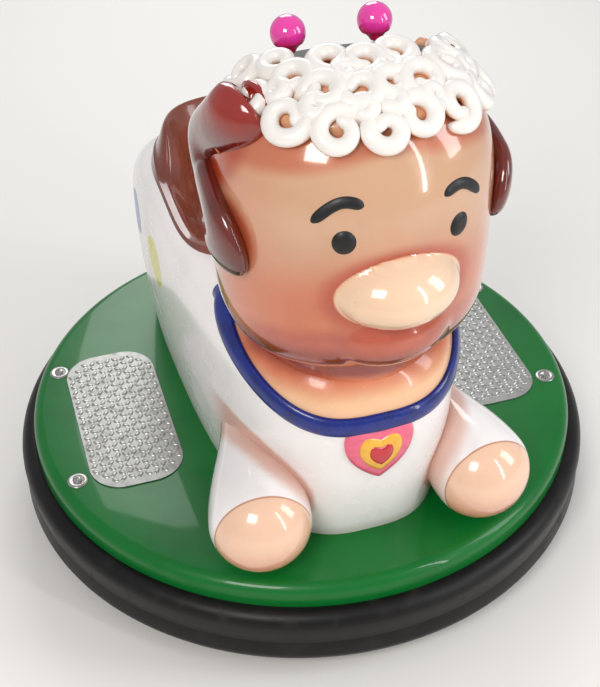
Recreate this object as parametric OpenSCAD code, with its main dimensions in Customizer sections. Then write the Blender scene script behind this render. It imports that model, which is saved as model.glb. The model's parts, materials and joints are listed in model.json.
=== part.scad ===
/* [Base] */
// Outside diameter of the rubber bumper ring
bumper_d = 1120; // [1060:5:1300]
// How far the bumper stands out past the deck's rim
bumper_proud = 30; // [20:1:45]
// Height of the deck's top above the floor
deck_z = 200; // [196:1:230]
// Thickness of the moulded deck skin
deck_t = 6; // [4:0.5:8]
// Depth of the deck's painted rim
deck_rim = 45; // [38:1:60]
// Radius rolled onto the deck's edge
deck_round = 18; // [10:1:24]
// Thickness of the plywood core under the deck
core_t = 18; // [12:1:24]
// Radius of the cable hole through the deck's centre
cable_hole_r = 40; // [30:1:60]
// Gap between the floor and the bottom of the bumper
bumper_gap = 45; // [30:1:60]
// Wall of the bumper's rubber section
bumper_wall = 11; // [8:1:16]
// Thickness of the steel band behind the bumper
band_t = 5; // [3:0.5:8]
// Side of the square chassis tube
tube = 40; // [30:1:50]
// Wall of the chassis tube
tube_wall = 3; // [2:0.5:4]

/* [Footplates] */
// Length of each footplate, front to back
foot_l = 385; // [300:1:420]
// Width of each footplate
foot_w = 175; // [120:1:190]
// Thickness of the tread plate
foot_t = 2.5; // [1.5:0.5:5]
// Corner radius of the tread plate
foot_r = 62; // [20:1:80]
// Gap from the body's side to the footplate
foot_gap = 41; // [20:1:60]
// Diameter of the cup washers that hold the deck down
washer_d = 38; // [24:1:44]

/* [Body] */
// Width of the body at the deck
body_w = 458; // [380:1:560]
// Reach of the chest ahead of the centre
chest_reach = 412; // [360:1:440]
// Reach of the tail behind the centre
tail_reach = 450; // [400:1:460]
// Height of the body's crown above the deck
body_h = 405; // [340:1:480]
// Swell of the belly, as a share of the plan
belly = 0.075; // [0.04:0.005:0.12]
// Wall of the moulded shells
wall = 5; // [3:0.5:8]
// Length of the seat opening
seat_l = 500; // [400:1:520]
// Width of the seat opening
seat_w = 416; // [320:1:430]
// Depth of the seat pan below the crown
seat_drop = 105; // [60:1:150]
// Rise of the backrest above the crown
back_rise = 76; // [40:1:130]
// Width of the collar band
collar_w = 32; // [20:1:50]
// Width of the heart pendant
heart_w = 108; // [60:1:130]

/* [Head] */
// Width of the head
head_w = 426; // [380:1:560]
// Depth of the head, face to nape
head_d = 400; // [300:1:440]
// Height of the head
head_h = 446; // [380:1:540]
// Roundness of the head, 2 is an egg and larger is squarer
head_n = 2.7; // [2.2:0.1:3.5]
// Roundness of the head in plan
plan_n = 2.2; // [2:0.1:3]
// Width of the snout
snout_w = 190; // [160:1:260]
// Height of the snout
snout_h = 122; // [100:1:170]
// How far the snout stands out of the face
snout_out = 57; // [30:1:80]
// Turn of the face to the right of straight ahead, in degrees
face_turn = 3.5; // [0:0.5:8]
// Thickness of the curls' rope
curl_rope = 26; // [18:1:30]
// Slope of the control console, in degrees
console_tilt = 16; // [8:1:24]

/* [Controls] */
// Diameter of the lever knobs
knob_d = 53; // [40:1:60]
// Distance between the two levers
lever_gap = 133; // [110:1:170]
// Length of each lever from its pivot to the knob's centre
lever_l = 48; // [46:1:70]
// Diameter of the lever's stem
stem_d = 8; // [6:0.5:10]
// Travel of each lever to either side, in degrees
lever_tilt = 18; // [8:1:20]
// Diameter of the start button
button_d = 24; // [16:1:30]
// Travel of the start button
button_travel = 3; // [2:0.5:4]

/* [Running gear] */
// Outside diameter of the drive tyres
tyre_d = 150; // [130:1:156]
// Width of the drive tyres
tyre_w = 44; // [30:1:50]
// Distance from the centre to the middle of each drive tyre
track_half = 332; // [320:1:370]
// Diameter of the drive axles
axle_d = 17; // [12:0.5:20]
// Teeth on the axle gear
gear_teeth = 45; // [45:3:48]
// Teeth on the motor pinion
pinion_teeth = 15; // [15:1:16]
// Module of the gears
gear_m = 2; // [1.8:0.05:2.1]
// Diameter of the drive motors
motor_d = 76; // [60:1:84]
// Length of the drive motors
motor_l = 130; // [90:1:150]
// Diameter of the caster wheels
caster_d = 100; // [80:1:104]
// Trail of the caster wheels behind their swivel
caster_trail = 30; // [20:1:36]
// Distance from the centre to each caster's swivel
caster_y = 400; // [360:1:405]

/* [Battery] */
// Width of one battery
battery_w = 77; // [65:1:95]
// Length of one battery
battery_l = 181; // [140:1:190]
// Height of one battery
battery_h = 167; // [100:1:180]
// Width of the hatch opening in the tail
hatch_w = 200; // [160:1:230]
// Height of the hatch opening
hatch_h = 150; // [110:1:170]

/* [Fits] */
// Clearance on the radius of a part that turns in another
run_fit = 0.05; // [0.02:0.01:0.1]
// Gap between parts that pass each other
gap = 0.5; // [0.3:0.1:1]
// How far bonded shells bed into each other
bond = 1.5; // [0.5:0.5:3]

/* [Hidden] */
$fn = 64;

// ---- helpers ----

function mean(pts) = [for (k = [0:2]) sum([for (p = pts) p[k]]) / len(pts)];
function sum(v, i = 0) = i < len(v) ? v[i] + sum(v, i + 1) : 0;
function spow(v, p) = sign(v) * pow(abs(v), p);
function mix(a, b, t) = a + (b - a) * t;
function clamp01(t) = max(0, min(1, t));
function ease(t) = clamp01(t) * clamp01(t) * (3 - 2 * clamp01(t));
function unit(v) = v / norm(v);

// A closed solid through a list of rings, its two ends closed by fans
module loft(rings) {
    n = len(rings[0]);
    m = len(rings);
    polyhedron(
        [for (r = rings) each r, mean(rings[0]), mean(rings[m - 1])],
        [
            for (i = [0:m - 2], j = [0:n - 1]) each [
                [i * n + j, i * n + (j + 1) % n, (i + 1) * n + (j + 1) % n],
                [i * n + j, (i + 1) * n + (j + 1) % n, (i + 1) * n + j]],
            for (j = [0:n - 1]) [m * n, (j + 1) % n, j],
            for (j = [0:n - 1]) [m * n + 1, (m - 1) * n + j, (m - 1) * n + (j + 1) % n]
        ]);
}

// A ring of oval section round a point, square to the given direction
function oval(c, dir, side, r_side, r_up, n) =
    let (d = unit(dir), s = unit(side - d * (side * d)), u = cross(d, s))
    [for (j = [0:n - 1]) c + s * r_side * cos(360 * j / n) + u * r_up * sin(360 * j / n)];

// A round-cornered rectangle about the origin, with true arcs
module round_rect(l, w, r) {
    square([l - 2 * r, w], center = true);
    square([l, w - 2 * r], center = true);
    for (x = [-1, 1], y = [-1, 1])
        translate([x * (l / 2 - r), y * (w / 2 - r)]) circle(r);
}

// A rod along X between two places
module rod_x(x0, x1, r) {
    translate([x0, 0, 0]) rotate([0, 90, 0]) cylinder(h = x1 - x0, r = r);
}

// ---- base ----

deck_r = bumper_d / 2 - bumper_proud;
skirt_z = deck_z - deck_rim;
core_top = deck_z - deck_t;
core_z = core_top - core_t;
frame_z = core_z - tube;
band_r = deck_r - 30;

// Half-section of the deck skin, shrunk inwards by an amount
module deck_section(inset, r) {
    top = deck_z - inset;
    translate([0, top - r]) square([deck_r - inset - r, r]);
    translate([0, skirt_z - inset]) square([deck_r - inset, top - r - skirt_z + inset]);
    translate([deck_r - inset - r, top - r]) circle(r);
}

module deck() {
    color("green") rotate_extrude($fn = 128) difference() {
        deck_section(0, deck_round);
        deck_section(deck_t, deck_round - deck_t);
        translate([-cable_hole_r, 0]) square([2 * cable_hole_r, deck_z + 1]);
        translate([-2 * deck_round, 0]) square([2 * deck_round, deck_z + 1]);
    }
}

module deck_core() {
    color("burlywood") translate([0, 0, core_z]) difference() {
        cylinder(h = core_t, r = deck_r - deck_round - 1, $fn = 128);
        translate([0, 0, -1]) cylinder(h = core_t + 2, r = cable_hole_r);
    }
}

module rim_band() {
    color("dimgray") translate([0, 0, bumper_gap + 5]) difference() {
        cylinder(h = core_z - bumper_gap - 5, r = band_r + band_t, $fn = 128);
        translate([0, 0, -1]) cylinder(h = core_z, r = band_r, $fn = 128);
    }
}

// Half-section of the bumper: a rubber channel with a bulged face
module bumper_ring() {
    r0 = band_r + band_t;
    h = skirt_z - bumper_gap;
    mid = bumper_gap + h / 2;
    face = bumper_d / 2;
    round = 26;
    color([0.08, 0.08, 0.08]) rotate_extrude($fn = 128) difference() {
        union() {
            translate([r0, bumper_gap]) square([face - round - r0, h]);
            translate([r0, bumper_gap + round]) square([face - r0, h - 2 * round]);
            for (z = [bumper_gap + round, skirt_z - round]) translate([face - round, z]) circle(round);
        }
        translate([r0 - 1, bumper_gap + bumper_wall])
            square([face - bumper_wall - 12 - r0 + 1, h - 2 * bumper_wall]);
        translate([face + 1, mid]) circle(5);
    }
}

rail_x = 150;
cross_y = 130;

module frame_bars(s, over) {
    d = (tube - s) / 2;
    reach = band_r + over;
    for (x = [-1, 1]) translate([x * rail_x - s / 2, -reach, frame_z + d]) cube([s, 2 * reach, s]);
    for (x = [-1, 1], y = [-1, 1])
        translate([x > 0 ? rail_x : -reach, y * cross_y - s / 2, frame_z + d])
            cube([reach - rail_x, s, s]);
    for (y = [-caster_y, -cross_y, cross_y, caster_y])
        translate([-rail_x + tube / 2, y - s / 2, frame_z + d]) cube([2 * rail_x - tube, s, s]);
}

module chassis_frame() {
    color("gray") intersection() {
        difference() {
            frame_bars(tube, 0);
            frame_bars(tube - 2 * tube_wall, 1);
        }
        cylinder(h = deck_z, r = band_r, $fn = 128);
    }
}

washer_r = 490;
washer_turns = [-111.6, -73.9, 73.9, 111.6];

// Cup washers with button-head bolts down into the core
module deck_bolts() {
    r = min(washer_r, deck_r - deck_round - washer_d / 2 - 1);
    color("silver") for (t = washer_turns) rotate(t) translate([0, -r, deck_z]) {
        cylinder(h = 3, r1 = washer_d / 2, r2 = washer_d / 2 - 3, $fn = 48);
        cylinder(h = 7, r = 8);
    }
}

foot_x = body_w / 2 + foot_gap + foot_w / 2;
foot_y = 12;

module footplate(side) {
    color("gainsboro") translate([side * foot_x, foot_y, deck_z])
        linear_extrude(foot_t) round_rect(foot_w, foot_l, foot_r);
}

// ---- body ----

wide_y = 200;
shoulder_z = 250 * body_h / 405;
crown_n = 4.2;
front_n = 3;
rear_n = 3.5;
around = 48;

// The body's plan at the deck, as a point for each turn from the chest
function plan(t) =
    let (c = cos(t), s = sin(t), ahead = c > 0)
    let (l = ahead ? chest_reach + wide_y : tail_reach - wide_y, n = ahead ? front_n : rear_n)
    let (f = ahead ? pow(c, 2 / n) : pow(-c, 2 / n))
    [body_w / 2 * spow(s, 2 / n) * (ahead ? 1 - 0.07 * f : 1), wide_y + (ahead ? -1 : 1) * l * f];

// Swell of the plan and height of the shell, from the deck (0) to the crown (1)
split = 0.36;
function swell(u) = u < split ? 1 + belly * sin(90 * u / split)
    : (1 + belly) * pow(cos(90 * (u - split) / (1 - split)), 2 / crown_n);
function rise(u) = u < split ? shoulder_z * u / split
    : shoulder_z + (body_h - shoulder_z) * pow(sin(90 * (u - split) / (1 - split)), 2 / crown_n);
function swell_at(z) = z < shoulder_z ? 1 + belly * sin(90 * z / shoulder_z)
    : (1 + belly) * pow(1 - pow(min(1, (z - shoulder_z) / (body_h - shoulder_z)), crown_n), 1 / crown_n);
function body_point(t, z) = let (p = plan(t) * swell_at(z)) [p[0], p[1], z];
function body_ring(u, inset) =
    [for (j = [0:around - 1]) let (p = plan(360 * j / around), k = swell(u) - inset / (body_w / 2))
        [p[0] * max(k, 0.02), p[1] * max(k, 0.02), deck_z + rise(u) * (1 - inset / body_h)]];

body_steps = [0, 0.12, 0.24, 0.36, 0.44, 0.52, 0.60, 0.68, 0.77, 0.86, 0.94, 0.995];

seat_y = 150;
seat_n = 3.6;
// Edge of the seat opening, as a point for each turn from its front
function seat_edge(t, k = 1) = [seat_w / 2 * spow(sin(t), 2 / seat_n) * k,
    seat_y - seat_l / 2 * spow(cos(t), 2 / seat_n) * k];

tail_y = (tail_reach) * (1 + belly);

module body_shell() {
    n = len(body_steps);
    color("white") difference() {
        loft(concat(
            [for (i = [n - 1:-1:0]) body_ring(body_steps[i], 0)],
            [for (i = [0:n - 1]) body_ring(body_steps[i], wall)]));
        translate([0, 0, deck_z + shoulder_z]) linear_extrude(body_h)
            polygon([for (j = [0:around - 1]) seat_edge(360 * j / around)]);
        hatch_block(200);
    }
}

// The tail's flat hatch frame stands a little proud of the shell
hatch_low = 62;
hatch_lip = 12;
face_y = tail_y + 12;
frame_deep = 60;
socket_w = 44;
socket_x = hatch_w / 2 + hatch_lip + socket_w / 2;
hatch_z = deck_z + hatch_low;

// Block that the hatch frame fills in the tail
module hatch_block(l) {
    translate([-hatch_w / 2 - hatch_lip, face_y - l, hatch_z - hatch_lip])
        cube([hatch_w + 2 * hatch_lip + socket_w, l, hatch_h + 2 * hatch_lip]);
}

hinge_x = -hatch_w / 2 - hatch_lip;
hinge_y = face_y + 5;
knuckle_r = 5;
hinge_pin_r = 2;
knuckle = hatch_h / 3;

module hatch_frame() {
    color([0.12, 0.12, 0.12]) {
        difference() {
            hatch_block(frame_deep);
            translate([-hatch_w / 2, face_y - frame_deep - 1, hatch_z])
                cube([hatch_w, frame_deep + 2, hatch_h]);
            translate([hatch_w / 2 + 5, face_y - frame_deep - 1, hatch_z - 6])
                cube([socket_w + 1, frame_deep - 5, hatch_h + 12]);
            translate([socket_x, face_y - frame_deep, hatch_z + hatch_h / 2]) rotate([-90, 0, 0])
                cylinder(h = frame_deep + 1, r = socket_r);
        }
        for (z = [hatch_z, hatch_z + 2 * knuckle]) {
            translate([hinge_x - knuckle_r, face_y, z]) cube([2 * knuckle_r, 5, knuckle]);
            translate([hinge_x, hinge_y, z]) cylinder(h = knuckle, r = knuckle_r);
        }
        translate([hinge_x, hinge_y, hatch_z]) cylinder(h = hatch_h, r = hinge_pin_r);
    }
}

door_t = 4;

module hatch_door() {
    z1 = hatch_z + knuckle + gap;
    color([0.15, 0.15, 0.15]) difference() {
        union() {
            translate([hinge_x + knuckle_r + 1.5, face_y + gap, hatch_z - 8])
                cube([hatch_w + hatch_lip - 1, door_t, hatch_h + 16]);
            translate([hinge_x, face_y + gap, z1]) cube([10, door_t, knuckle - 2 * gap]);
            translate([hinge_x, hinge_y, z1]) cylinder(h = knuckle - 2 * gap, r = knuckle_r);
        }
        translate([hinge_x, hinge_y, hatch_z]) cylinder(h = hatch_h, r = hinge_pin_r + run_fit);
    }
}

module hatch_knob() {
    color("silver") translate([hatch_w / 2 - 22, face_y + gap + door_t, hatch_z + hatch_h / 2])
        rotate([-90, 0, 0]) {
            cylinder(h = 10, r = 6);
            translate([0, 0, 10]) cylinder(h = 7, r1 = 11, r2 = 12);
        }
}

socket_r = 14;
plug_r = 8;
cap_pin_r = 1.5;
cap_z = hatch_z + hatch_h / 2 + 21;
cap_y = face_y + 8;

module charge_socket() {
    color("black") translate([socket_x, 0, 0]) {
        difference() {
            union() {
                translate([0, face_y - 26, hatch_z + hatch_h / 2]) rotate([-90, 0, 0])
                    cylinder(h = 26, r = socket_r);
                translate([-18, face_y, hatch_z + hatch_h / 2 - 18]) cube([36, 3, 38]);
                for (s = [-1, 1]) translate([s * 12.5 - 3, face_y, cap_z - 4]) cube([6, 8, 7.5]);
            }
            translate([0, face_y - 18, hatch_z + hatch_h / 2]) rotate([-90, 0, 0])
                cylinder(h = 30, r = plug_r);
        }
        translate([0, cap_y, cap_z]) rod_x(-15, 15, cap_pin_r);
    }
}

module charge_cap() {
    color("red") translate([socket_x, 0, 0]) difference() {
        union() {
            translate([0, face_y + 3 + gap, hatch_z + hatch_h / 2]) rotate([-90, 0, 0])
                cylinder(h = 4, r = 14);
            translate([-9, face_y + 3 + gap, hatch_z + hatch_h / 2]) cube([18, 4, 21 - 3.5]);
            translate([0, cap_y, cap_z]) rod_x(-9, 9, 3.8);
        }
        translate([0, cap_y, cap_z]) rod_x(-10, 10, cap_pin_r + run_fit);
    }
}

// The seat moulding: a pan inside the opening, with a rolled backrest
function seat_ring(k, drop) =
    [for (j = [0:around - 1])
        let (t = 360 * j / around, e = seat_edge(t), p = seat_edge(t, k))
        let (rim = body_top(e), back = ease((e[1] - seat_y) / (seat_l / 2) * 2 - 0.35))
        let (nose = ease((seat_y - e[1]) / (seat_l / 2) * 2 - 1))
        let (pan = body_h - seat_drop, side = ease((k - 0.66) / 0.3))
        let (hump = ease((k - 0.58) / 0.22) * (1 - ease((k - 0.86) / 0.14) * 0.82))
        [p[0], p[1], deck_z + mix(pan, rim + 3, side) + back * (back_rise + body_h - rim) * hump
            + nose * 12 * side - drop]];

// Height of the body's crown above the deck, over a place on the plan
function body_top(p) =
    let (t = plan_turn(p), q = plan(t), k = norm(p) / max(norm(q), 1) / (1 + belly))
    shoulder_z + (body_h - shoulder_z) * pow(max(0.01, 1 - pow(min(k, 0.999), crown_n)), 1 / crown_n);

// The turn at which the plan lies in the same direction as a place
function plan_turn(p) = let (a = atan2(abs(p[0]), -p[1])) bisect_turn(a, 0, 180, 18) * (p[0] < 0 ? -1 : 1);
function bisect_turn(a, lo, hi, i) =
    let (m = (lo + hi) / 2, q = plan(m)) i == 0 ? m
    : atan2(q[0], -q[1]) < a ? bisect_turn(a, m, hi, i - 1) : bisect_turn(a, lo, m, i - 1);

module seat_shell() {
    ks = [0.12, 0.3, 0.48, 0.6, 0.68, 0.76, 0.83, 0.89, 0.94, 0.98, 1];
    n = len(ks);
    color([0.4, 0.12, 0.07]) loft(concat(
        [for (i = [0:n - 1]) seat_ring(ks[i], 0)],
        [for (i = [n - 1:-1:0]) seat_ring(ks[i], wall + 1)]));
}

// ---- collar, pendant and legs ----

collar_low = 282;
collar_top = body_h - 22;
collar_ends = [-64, 57];
collar_slope = 0.37;

// Height of the collar where it passes the given turn of the chest
function collar_height(t, z, i = 8) = i == 0 ? z
    : collar_height(t, min(collar_top, collar_low + collar_slope * (body_point(t, z)[1] + chest_reach * 1.07)),
        i - 1);
function collar_point(t) = let (z = collar_height(t, collar_low), p = body_point(t, z))
    [p[0], p[1], deck_z + z];
// Outward direction of the body's skin at the given turn and height
function skin_out(t, z) = let (d = 1, a = body_point(t - d, z), b = body_point(t + d, z),
    c = body_point(t, z + 4), e = body_point(t, z - 4)) unit(cross(b - a, c - e));

module collar_band() {
    turns = [for (j = [0:28]) mix(collar_ends[0], collar_ends[1], j / 28)];
    color("royalblue") loft([for (t = turns)
        let (c = collar_point(t), d = collar_point(t + 2) - collar_point(t - 2))
        let (out = skin_out(t, collar_height(t, collar_low)))
        oval(c + out * 1.5, d, out, 8, collar_w / 2, 12)]);
}

// Outline of a heart: two lobes over a point, at a share of its full size
heart_pts = 40;
heart_core = -0.1;
function heart(w, share) = [for (i = [0:heart_pts - 1]) let (t = -360 * (i + 0.5) / heart_pts)
    let (x = 0.5 * spow(sin(t), 1.7), y = 0.04 * (13 * cos(t) - 3.1 * cos(2 * t) - 1.5 * cos(3 * t) - 0.5 * cos(4 * t)))
    [w * x * share, w * (heart_core + (y - heart_core) * share)]];

heart_z = deck_z + 229;

// The pendant: three hearts one on another, each smaller than the last and round at its rim
module heart_pendant() {
    y = body_point(0, heart_z - deck_z)[1];
    tiers = [[1, -bond], [1, 6], [0.96, 9], [0.64, 9], [0.62, 11.5], [0.59, 12.5], [0.34, 12.5],
        [0.31, 15]];
    color("hotpink") loft([for (k = tiers) [for (p = heart(heart_w, k[0])) [p[0], y - k[1], heart_z + p[1]]]]);
}

hip = [body_w * 0.34, -190, 120];
paw = [body_w * 0.467, -500, 82];

// A slice across a front leg: round, and flat where it lies on the deck
function leg_ring(side, u, inset) =
    let (turn = [side * hip[0], hip[1], hip[2]], foot = [side * paw[0], paw[1], paw[2]])
    let (end = sqrt(max(0.02, 1 - pow(max(0, (u - 0.74) / 0.265), 2))))
    let (r = max(2, mix(50, 87, ease(u * 1.35)) * end - inset), c = mix(turn, foot, u * (1 - inset / 330)))
    [for (p = oval(c, foot - turn, [1, 0, 0], r, r, 24)) [p[0], p[1], deck_z + max(p[2], inset)]];

// A front leg: a thick round hollow limb from the chest to the paw
module leg(side) {
    color("white") loft(concat([for (i = [12:-1:0]) leg_ring(side, i / 12, 0)],
        [for (i = [0:12]) leg_ring(side, i / 12, wall)]));
}

// ---- head ----

head_c = [0, -284, deck_z + body_h + head_h / 2];
half = [head_w / 2, head_d / 2, head_h / 2];
jaw_n = 5.5;
jaw_h = head_h / 2 * 1.05;
neck_drop = 0.95;

snout_c = [0, -half[1] + 26, -61];
snout_half = [snout_w / 2, snout_out + 26, snout_h / 2];
chin_c = [0, -half[1] + 42, -150];
chin_half = [96, 62, 62];

function plan_reach(x, y) = pow(pow(abs(x) / half[0], plan_n) + pow(abs(y) / half[1], plan_n), 1 / plan_n);
// Reach of the head along a direction: an egg above, and squarer below for the jaw
function head_r(d) = let (n = d[2] < 0 ? jaw_n : head_n, h = d[2] < 0 ? jaw_h : half[2])
    pow(pow(plan_reach(d[0], d[1]), n) + pow(abs(d[2]) / h, n), -1 / n);
// A direction as seen from the turned face
function facing(d) = [d[0] * cos(face_turn) + d[1] * sin(face_turn),
    d[1] * cos(face_turn) - d[0] * sin(face_turn), d[2]];
// Reach of an egg-shaped bump, seen along a direction from the head's centre
function bump_r(d, c, h) =
    let (q = [for (k = [0:2]) d[k] / h[k]], p = [for (k = [0:2]) c[k] / h[k]])
    let (b = q * p, disc = b * b - (q * q) * (p * p - 1)) disc < 0 || b < 0 ? 0 : (b + sqrt(disc)) / (q * q);
function face_r(d) = let (f = facing(d))
    max(head_r(d), bump_r(f, snout_c, snout_half), bump_r(f, chin_c, chin_half));
function aim(turn, tilt) = [sin(turn) * cos(tilt), -cos(turn) * cos(tilt), sin(tilt)];
neck_share = pow(1 - pow(neck_drop, jaw_n), 1 / jaw_n);
function neck_tilt(turn) = -atan(jaw_h * neck_drop * plan_reach(sin(turn), cos(turn)) / neck_share);

head_rows = 20;
function head_ring(i, inset) = [for (j = [0:around - 1])
    let (turn = 360 * j / around, d = aim(turn, mix(86, neck_tilt(turn), i / head_rows)))
    head_c + d * (face_r(d) - inset)];

module head_solid() { loft([for (i = [0:head_rows]) head_ring(i, 0)]); }

console_at = head_c + [0, 72, head_h / 2 - 48];
console_front = 88;

// Place things on the sloping console: +Z stands square to it
module on_console() { translate(console_at) rotate([-console_tilt, 0, 0]) children(); }

module console_cut(t) {
    intersection() {
        on_console() translate([-half[0], -console_front - 40, -t]) cube([head_w, 400, 200]);
        translate([-half[0], console_at[1] - console_front, 0]) cube([head_w, 400, 2000]);
    }
}

panel_t = 5;

module head_shell() {
    color("tan") difference() {
        loft(concat([for (i = [0:head_rows]) head_ring(i, 0)],
            [for (i = [head_rows:-1:0]) head_ring(i, wall)]));
        console_cut(panel_t);
    }
}

// The throat: a ring bonded inside the head's foot, drawn in where it enters the chest
module neck_ring() {
    low = body_h - 80;
    high = body_h + head_h / 2 - jaw_h * neck_drop + 8;
    r = 100;
    color("peachpuff") translate([0, head_c[1], deck_z + low])
        scale([half[0] * neck_share / r, half[1] * neck_share / r, 1]) difference() {
            cylinder(h = high - low, r1 = 0.86 * r, r2 = 0.98 * r);
            translate([0, 0, -1]) cylinder(h = high - low + 2, r1 = 0.86 * r - 6, r2 = 0.98 * r - 6);
        }
}

module ear(side) {
    path = [[-138, -38, 188], [-156, -46, 192], [-174, -44, 178], [-190, -8, 142], [-203, 46, 94],
        [-210, 40, 52], [-213, -24, 28], [-212, -60, 10], [-206, -64, -24], [-198, -60, -50]];
    wide = [16, 40, 50, 46, 40, 40, 46, 50, 44, 18];
    thick = [14, 30, 34, 30, 23, 20, 21, 22, 20, 10];
    n = len(path);
    color([0.45, 0.08, 0.04]) loft([for (i = [0:n - 1])
        let (a = path[max(i - 1, 0)], b = path[min(i + 1, n - 1)])
        [for (p = oval(path[i], b - a, [1, 0.25, 0.3], thick[i], wide[i], 16))
            head_c + [-side * p[0], p[1], p[2]]]]);
}

// Each curl: turn round the head, tilt up the head, radius, and the spin of its tail
curls = [[-78, 47, 34, 200], [-49, 48, 33, 100], [-21, 50, 34, 60], [8, 52, 34, 120], [37, 50, 34, 200],
    [65, 47, 33, 160], [-62, 68, 34, 20], [-14, 72, 33, 90], [34, 71, 34, 240], [74, 66, 33, 300]];
fringe_turn = 92;
fringe_cols = 76;
fringe_rows = 28;
fringe_under = 5;
fringe_base = 6;

// A direction in the skin square to one from the head's centre, and the other square to both
function skin_x(d) = unit([-d[1], d[0], 0]);
function skin_y(d) = unit(cross(d, skin_x(d)));

// Height of one curl above the skin at a point: a rope wound inwards one turn and a half
function curl_h(p, c) =
    let (d = aim(c[0], c[1]), v = p - d * head_r(d), x = v * skin_x(d), y = v * skin_y(d), rho = norm(v))
    let (a = (atan2(y, x) + c[3] + 720) % 360)
    rho > c[2] + 12 ? 0 : max([for (k = [0, 1]) let (u = (a + 360 * k) / 540)
        u > 1 ? 0 : let (off = (rho - c[2] * mix(0.86, 0.24, u)) / (curl_rope * 0.36))
            abs(off) >= 1 ? 0 : sqrt(1 - off * off) * curl_rope * 0.55]);

// Low and high edges of the fringe, drawn together at its two ends
function fringe_low(u) = let (s = u * fringe_turn)
    mix(43 + 3 * cos(s) - 2.2 * abs(cos(s * 180 / 29 + 60)), 50, pow(abs(u), 6));
function fringe_high(u) = let (s = u * fringe_turn)
    mix(min(85, acos(min(1, 26 / (head_h / 2 * max(0.12, cos(s)))))), 58, pow(abs(u), 6));
function fringe_at(u, v, out) = let (d = aim(u * fringe_turn, mix(fringe_low(u), fringe_high(u), v)))
    head_c + d * (head_r(d) + out);
function fringe_lift(u, v) = let (d = aim(u * fringe_turn, mix(fringe_low(u), fringe_high(u), v)))
    let (p = d * head_r(d), edge = sqrt(min(1, 6 * min(v, 1 - v) + 0.1)))
    edge * (fringe_base + max([for (c = curls) curl_h(p, c)]));

// The woolly fringe, moulded in one piece with its curls standing in relief
module fringe_curls() {
    color("ivory") loft([for (i = [0:fringe_cols]) let (u = 2 * i / fringe_cols - 1) concat(
        [for (j = [0:fringe_rows]) fringe_at(u, j / fringe_rows, fringe_lift(u, j / fringe_rows))],
        [for (j = [fringe_under:-1:0]) fringe_at(u, j / fringe_under, -bond)])]);
}

// ---- controls ----

ball_r = 8;
socket_h = 10;
housing_r = 17;
slot_w = stem_d + 1;
slot_l = stem_d / cos(lever_tilt) + 2 * socket_h * tan(lever_tilt) + 2;
pivot_pin_r = 2.5;
bezel_r = button_d / 2 + 5;
barrel_r = 9;
rotor_r = 6;
speaker_r = 23;

// Where each thing sits on the console: across, and down towards the rider
button_at = [0, 22];
key_at = [0, -20];
socket_flange = 25;
coin_at = [lever_gap / 2 + socket_flange + 21, 8];
speaker_at = [-lever_gap / 2 - socket_flange - speaker_r - 2, 8];

module console_panel() {
    color([0.1, 0.1, 0.1]) difference() {
        intersection() {
            head_solid();
            difference() {
                console_cut(panel_t);
                on_console() translate([-half[0], -console_front + 6, 0]) cube([head_w, 400, 200]);
            }
        }
        on_console() {
            for (x = [-1, 1]) translate([x * lever_gap / 2, 0, -20]) cylinder(h = 40, r = housing_r);
            translate([button_at[0], button_at[1], -20]) cylinder(h = 40, r = bezel_r - 2);
            translate([key_at[0], key_at[1], -20]) cylinder(h = 40, r = barrel_r);
            translate([coin_at[0] - 6, coin_at[1] - 17, -20]) cube([12, 34, 40]);
            translate([speaker_at[0], speaker_at[1], -20]) cylinder(h = 40, r = speaker_r - 4);
        }
    }
}

module lever_sockets() {
    color([0.08, 0.08, 0.08]) on_console() for (x = [-1, 1]) translate([x * lever_gap / 2, 0, 0])
        difference() {
            union() {
                cylinder(h = socket_h, r1 = socket_flange, r2 = 22);
                translate([0, 0, -34]) cylinder(h = 34, r = housing_r);
            }
            sphere(ball_r + gap);
            rod_x(-14, 14, pivot_pin_r + run_fit);
            translate([-slot_w / 2, -slot_l / 2, 0]) cube([slot_w, slot_l, socket_h + 1]);
            translate([-slot_w / 2, -11, -29]) cube([slot_w, 22, 29]);
        }
}

module lever(side) {
    color("gainsboro") on_console() translate([side * lever_gap / 2, 0, 0]) {
        sphere(ball_r);
        cylinder(h = lever_l, r = stem_d / 2);
        translate([0, 0, -20]) cylinder(h = 20, r = 3);
        rod_x(-13.5, 13.5, pivot_pin_r);
    }
}

module knob(side) {
    r = knob_d / 2;
    color("deeppink") on_console() translate([side * lever_gap / 2, 0, lever_l]) difference() {
        union() {
            sphere(r);
            translate([0, 0, -r - 3]) cylinder(h = 14, r1 = stem_d / 2 + 3, r2 = sqrt(r * r - pow(r - 11, 2)));
        }
        translate([0, 0, -r - 4]) cylinder(h = r + 4, r = stem_d / 2);
    }
}

module start_bezel() {
    color("silver") on_console() translate([button_at[0], button_at[1], 0]) difference() {
        union() {
            cylinder(h = 3, r = bezel_r + 2);
            translate([0, 0, -18]) cylinder(h = 18, r = bezel_r - 2);
        }
        translate([0, 0, -15]) cylinder(h = 20, r = button_d / 2 + run_fit);
    }
}

module start_button() {
    color("limegreen") on_console() translate([button_at[0], button_at[1], -15 + button_travel + gap])
        cylinder(h = 22, r = button_d / 2);
}

module key_barrel() {
    color("silver") on_console() translate([key_at[0], key_at[1], 0]) difference() {
        union() {
            cylinder(h = 3, r = barrel_r + 4);
            translate([0, 0, -22]) cylinder(h = 22, r = barrel_r);
        }
        translate([0, 0, -16]) cylinder(h = 20, r = rotor_r + run_fit);
    }
}

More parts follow.
